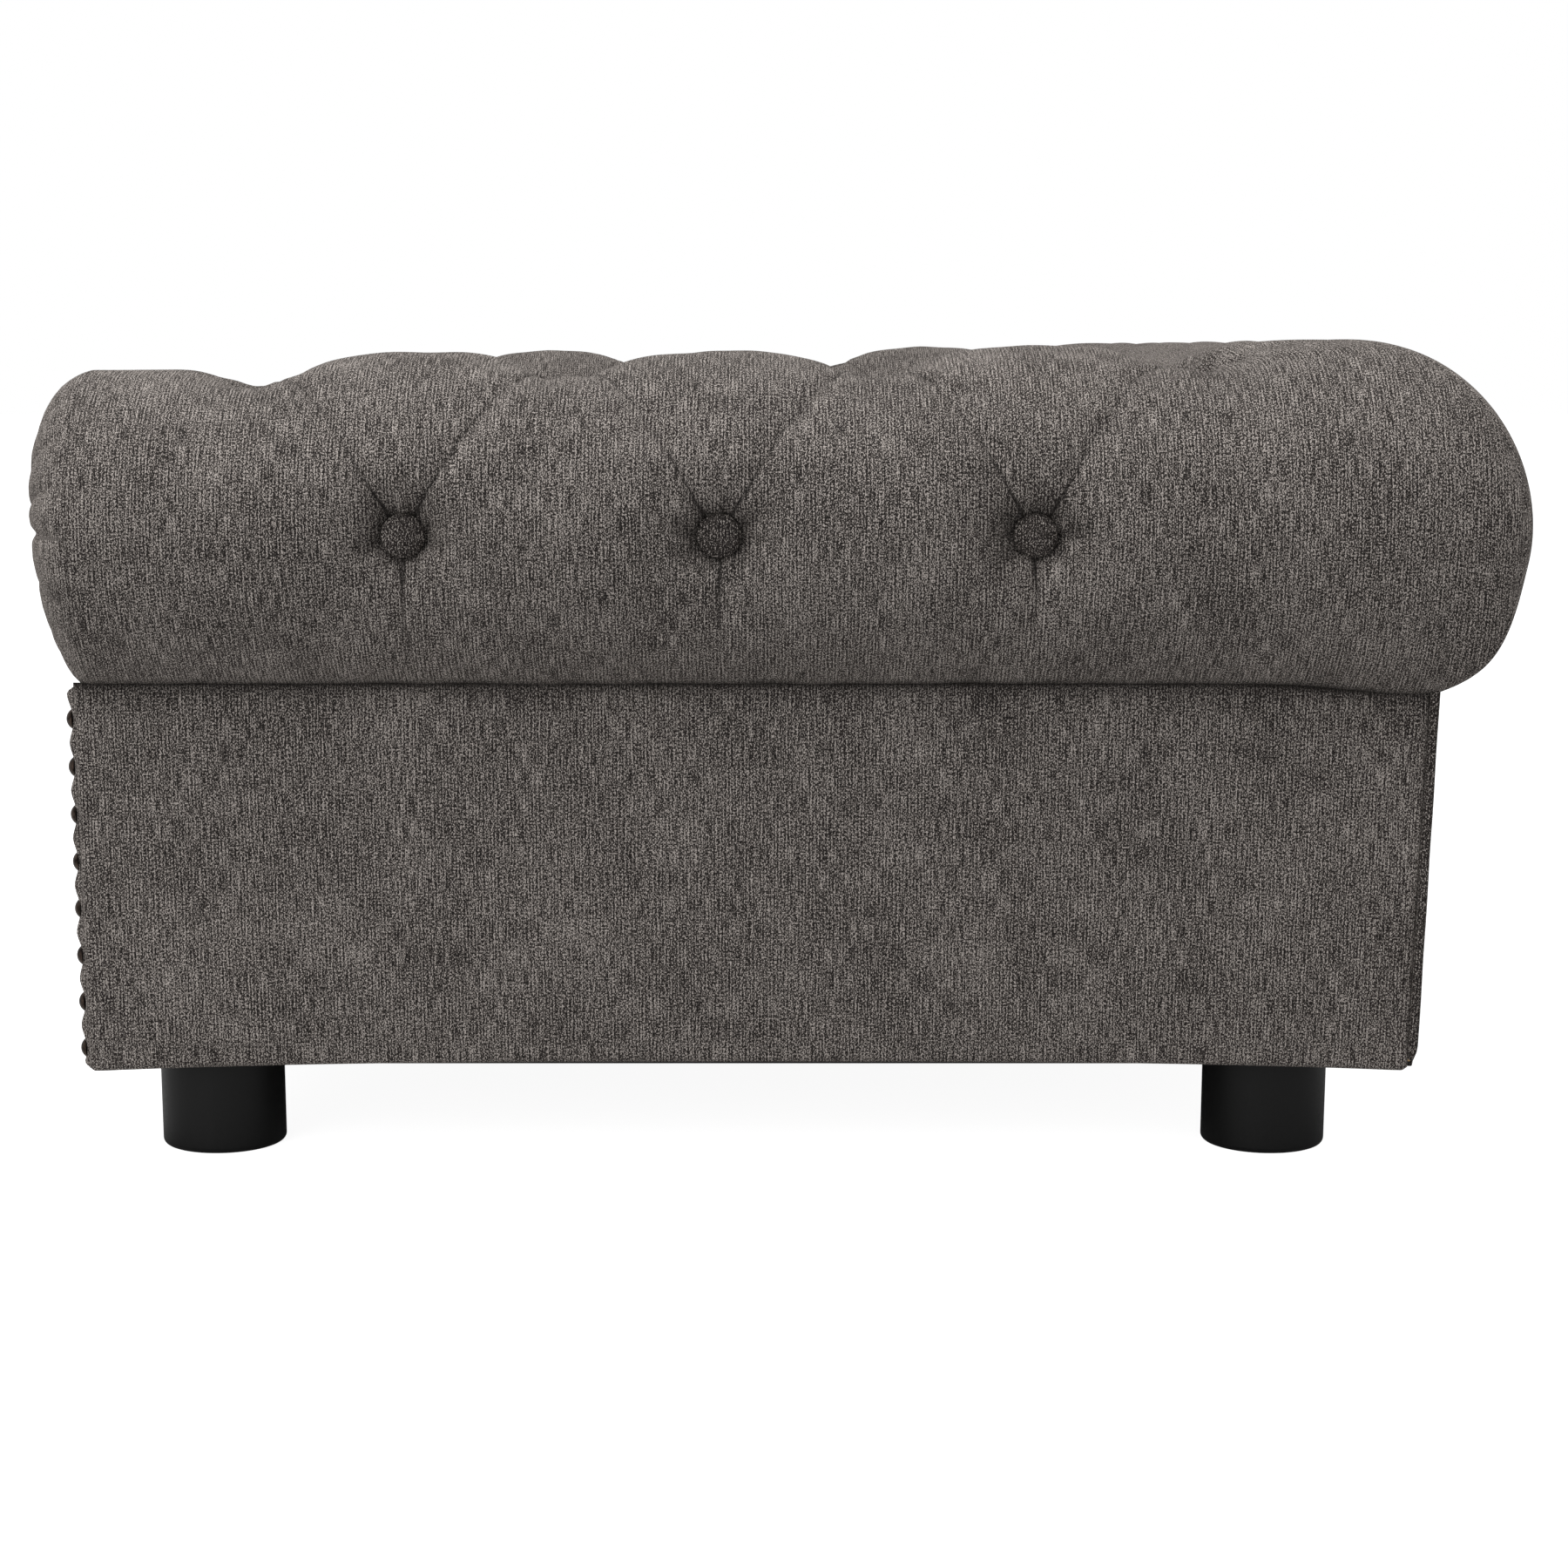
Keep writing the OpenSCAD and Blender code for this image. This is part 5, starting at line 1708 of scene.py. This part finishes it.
@dataclass
class SeatCushion:
    """The loose cushion: crowned top, flat underside, boxing between two piped seams."""

    finishes: Finishes
    corner: float = 26 * MM
    draw_in: float = 4 * MM
    crown: float = 17 * MM
    boxing: float = 2.2 * MM
    foot_round: float = 3 * MM
    seam_up: float = 80.3 * MM
    upper_piping: float = 79.6 * MM
    lower_piping: float = 3.4 * MM
    welt: float = 2.6 * MM
    welt_segments: int = 12
    around: int = 520
    # Unevenness of the top and of the boxing, and the fine puckers along the seam
    top_uneven: float = 1.3 * MM
    side_uneven: float = 0.8 * MM
    pucker: float = 0.7 * MM
    pucker_pace: float = 11 * MM

    def __post_init__(self) -> None:
        """Reads the cushion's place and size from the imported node."""
        self.low, self.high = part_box("cushion_cover")

    def outline(self, grow: float) -> Grid:
        """The seam's outline in plan.

        Args:
            grow: how far outside the seam the outline runs.

        Returns:
            Points as (x, y), anticlockwise from the middle of the right side.
        """
        low, high, corner = self.low, self.high, self.corner
        cx, cy = (low.x + high.x) / 2, (low.y + high.y) / 2
        hx, hy = (high.x - low.x) / 2 - self.welt, (high.y - low.y) / 2 - self.welt
        line = []
        for sign_x, sign_y, start in ((1, 1, 0), (-1, 1, 90), (-1, -1, 180), (1, -1, 270)):
            turn = np.radians(start + np.linspace(0, 90, 24))
            mid = np.array([cx + sign_x * (hx - corner), cy + sign_y * (hy - corner)])
            line.append(mid + (corner + grow) * np.column_stack([np.cos(turn), np.sin(turn)]))
        loop = np.concatenate(line + [line[0][:1]])
        run = path_lengths(loop)
        marks = np.linspace(0, run[-1], self.around, endpoint=False)
        points = np.column_stack([np.interp(marks, run, loop[:, k]) for k in (0, 1)])
        # Both ends and the front draw in between their corners
        share_x = np.clip((points[:, 0] - cx) / (hx - corner), -1, 1)
        share_y = np.clip((points[:, 1] - cy) / (hy - corner), -1, 1)
        on_side = np.abs(points[:, 0] - cx) > hx - 1 * MM + min(grow, 0)
        on_front = points[:, 1] < cy - hy + 1 * MM - min(grow, 0)
        points[:, 0] -= np.where(on_side, np.sign(points[:, 0] - cx) * self.draw_in * (1 - share_y**2), 0)
        points[:, 1] += np.where(on_front, self.draw_in * (1 - share_x**2), 0)
        return points

    def levels(self) -> list[tuple[float, float, float]]:
        """Rings from the underside to the top.

        Returns:
            Each ring's share of the plan, its outward swell and its height.
        """
        base, seam, foot = self.low.z + 0.2 * MM, self.low.z + self.seam_up, self.foot_round
        rows = [(share, 0.0, base) for share in (0.05, 0.5, 0.9, 0.97)]
        rows += [(0.99, 0.0, base + 0.6 * MM), (1.0, -1.2 * MM, base + foot)]
        for t in np.linspace(0.06, 0.94, 22):
            swell = self.boxing * math.sin(math.pi * t) ** 0.7 - 0.6 * MM
            rows.append((1.0, swell, base + foot + t * (seam - base - foot)))
        rows.append((1.0, -1.4 * MM, seam))
        for share in (0.992, 0.982, 0.97, 0.955, 0.935, 0.91, *np.linspace(0.88, 0.06, 26)):
            rows.append((float(share), 0.0, seam + self.crown * (1 - share**3.2) ** 0.8))
        return rows

    def cover(self) -> Piece:
        """The stuffed cover.

        Returns:
            The new piece.
        """
        plan = self.outline(0.0)
        centre = plan.mean(0)
        ahead = np.roll(plan, -1, 0) - np.roll(plan, 1, 0)
        normal = np.column_stack([ahead[:, 1], -ahead[:, 0]])
        normal /= np.linalg.norm(normal, axis=1)[:, None]
        run = path_lengths(plan)
        top = self.low.z + self.seam_up - 1 * MM
        rings, flat_map, side_map, boxed = [], [], [], []
        for share, swell, z in self.levels():
            ring = centre + (plan - centre) * share + normal * swell
            lift = np.full(len(plan), z)
            if z > top and share < 0.99:
                soft = self.top_uneven * ripple(ring[:, 0], ring[:, 1], 120 * MM, 61)
                pucker = self.pucker * np.sin(run / self.pucker_pace) * ripple(run, run * 0, 90 * MM, 62)
                lift = lift + soft * (1 - share**6) + pucker * math.exp(-((1 - share) / 0.035))
            elif share > 0.999:
                bulge = self.side_uneven * ripple(run, np.full_like(run, z), 55 * MM, 63)
                ring = ring + normal * bulge[:, None]
            rings.append(np.column_stack([ring, lift]))
            flat_map.append(ring)
            side_map.append(np.column_stack([run, lift]))
            boxed.append(share > 0.999)
        shape = np.array(rings)
        count, size = shape.shape[:2]
        quads, caps = grid_faces(count, size, True), end_caps(count, size)
        flat, sides = np.array(flat_map).reshape(-1, 2), np.array(side_map).reshape(-1, 2)
        row = quads[:, 0] // size
        on_boxing = (np.array(boxed)[row] & np.array(boxed)[row + 1])[:, None, None]
        places = np.where(on_boxing, sides[quads], flat[quads]).reshape(-1, 2)
        return make_piece("cushion_cover_stuffed", shape.reshape(-1, 3), quads.tolist() + caps,
                          corner_uv=np.concatenate([places] + [flat[cap] for cap in caps]))

    def piping(self, name: str, z: float) -> Piece:
        """One piped seam round the cushion.

        Args:
            name: the piece's name.
            z: the height of the piping's middle.

        Returns:
            The new piece.
        """
        loop = self.outline(0.4 * MM)
        count, size = len(loop), self.welt_segments
        wave = 0.25 * MM * np.sin(np.linspace(0, 2 * math.pi * 40, count))
        path = np.column_stack([loop, np.full(count, z) + wave])
        turn = circle(size)
        ahead = np.roll(path, -1, 0) - np.roll(path, 1, 0)
        ahead /= np.linalg.norm(ahead, axis=1)[:, None]
        upward = np.array([0.0, 0.0, 1.0])
        side = np.cross(ahead, upward)
        rings = path[:, None, :] + self.welt * (np.cos(turn)[None, :, None] * side[:, None, :]
                                                + np.sin(turn)[None, :, None] * upward)
        # The last ring joins the first
        faces = (grid_faces(count + 1, size, True) % (count * size)).tolist()
        cloth = np.stack(np.broadcast_arrays(turn[None, :] * self.welt, path_lengths(path)[:, None]), -1)
        return make_piece(name, rings.reshape(-1, 3), faces, cloth.reshape(-1, 2))

    def build(self) -> None:
        cover = self.cover()
        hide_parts("cushion_cover")
        declare(cover, self.finishes.chenille, CUSHION)
        for name, up in (("upper", self.upper_piping), ("lower", self.lower_piping)):
            declare(self.piping(f"cushion_{name}_piping", self.low.z + up), self.finishes.tight, CUSHION)


# Solids, studio and the whole sofa


@dataclass
class Hardware:
    """Frame, fasteners, feet, nails and zip: solids that keep their own shape and get their finish."""

    nodes: dict[str, Piece]
    slots: dict[str, str]
    finishes: Finishes

    def build(self) -> None:
        """Gives every solid the finish of its material slot."""
        for name, node in self.nodes.items():
            dress(node, self.finishes.by_slot[self.slots[name]])
        LOG.info("%d solids dressed", len(self.nodes))


@dataclass(frozen=True)
class Lamp:
    """A square soft lamp."""

    name: str
    place: tuple[float, float, float]
    aim: tuple[float, float, float]
    size: float
    watts: float

    def hang(self) -> None:
        """Adds the lamp, turned to its aim."""
        light = bpy.data.lights.new(self.name, "AREA")
        light.size = self.size
        light.energy = self.watts
        lamp = bpy.data.objects.new(self.name, light)
        lamp.location = self.place
        toward = Vector(self.aim) - Vector(self.place)
        lamp.rotation_euler = toward.to_track_quat("-Z", "Y").to_euler()
        bpy.context.scene.collection.objects.link(lamp)


@dataclass(frozen=True)
class Studio:
    """Pale floor, soft lamps and the camera at the photograph's place."""

    lamps: tuple[Lamp, ...] = (Lamp("overhead_soft", (0.6, -0.5, 2.2), (0.2, 0.0, 0.2), 2.2, 39.0),
                               Lamp("front_soft", (2.6, -1.4, 1.3), (0.4, 0.0, 0.2), 1.6, 17.0))
    floor_size: float = 30.0
    # How bright the camera sees the floor, and how strongly the room lights the sofa
    floor_glow: float = 0.93
    room_light: float = 0.50
    camera: tuple[float, float, float] = (1.765, -0.010, 0.351)
    # The photograph's frame, focal length, horizon, vanishing point and aim, in its own pixels
    frame_px: float = 1800.0
    focal_px: float = 3500.0
    horizon_px: float = 400.0
    centre_px: float = 870.0
    axis_px: float = 1100.0

    def floor(self) -> None:
        """A wide floor that the camera sees as nearly white and that keeps the sofa's shadow."""
        bpy.ops.mesh.primitive_plane_add(size=self.floor_size, location=(0, 0, 0))
        floor = bpy.context.active_object
        floor.name = "studio_floor"
        # Matt paint: even pale grey under the lamps, with no gloss
        material, tree, shader = new_material("matt_white_floor", {
            "Base Color": linear("c6c6c6"), "Roughness": 0.9, "Specular IOR Level": 0.0,
            "Emission Color": WHITE})
        seen = add_node(tree, "ShaderNodeLightPath").outputs["Is Camera Ray"]
        glow = add_node(tree, "ShaderNodeMath", {0: seen, 1: self.floor_glow}, operation="MULTIPLY")
        tree.links.new(glow.outputs[0], shader.inputs["Emission Strength"])
        floor.data.materials.append(material)

    def room(self) -> None:
        """A surround that the camera sees as white."""
        world = bpy.data.worlds.new("white_room")
        bpy.context.scene.world = world
        world.use_nodes = True
        tree = world.node_tree
        background = next(n for n in tree.nodes if n.type == "BACKGROUND")
        background.inputs["Color"].default_value = WHITE
        seen = add_node(tree, "ShaderNodeLightPath").outputs["Is Camera Ray"]
        strength = add_node(tree, "ShaderNodeMapRange",
                            {"Value": seen, "To Min": self.room_light, "To Max": 1.0})
        tree.links.new(strength.outputs[0], background.inputs["Strength"])

    def shoot(self) -> None:
        """Sets the camera and the view transform."""
        data = bpy.data.cameras.new("photo_camera")
        data.sensor_width = 36.0
        data.lens = self.focal_px * data.sensor_width / self.frame_px
        data.shift_x = (self.frame_px / 2 - self.centre_px) / self.frame_px
        data.shift_y = (self.axis_px - self.frame_px / 2) / self.frame_px
        pitch = math.atan((self.axis_px - self.horizon_px) / self.focal_px)
        camera = bpy.data.objects.new("photo_camera", data)
        camera.location = self.camera
        camera.rotation_euler = (math.pi / 2 - pitch, 0.0, math.pi / 2)
        scene = bpy.context.scene
        scene.collection.objects.link(camera)
        scene.camera = camera
        scene.view_settings.view_transform = "Standard"

    def build(self) -> None:
        """Makes the whole studio."""
        self.floor()
        self.room()
        for lamp in self.lamps:
            lamp.hang()
        self.shoot()


def main() -> None:
    """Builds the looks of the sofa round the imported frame."""
    logging.basicConfig(level=logging.INFO)
    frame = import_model()
    deselect_all()
    slots = {entry["node"]: entry["material_slot"] for entry in frame["record"]["subparts"]}
    finishes = Finishes()
    roll = Roll.from_frame()
    Studio().build()
    Hardware(frame["nodes"], slots, finishes).build()
    TuftedRolls(roll, finishes).build()
    Shell(roll, finishes, frame["nodes"]).build()
    SeatCushion(finishes).build()


if __name__ == "__main__":
    main()
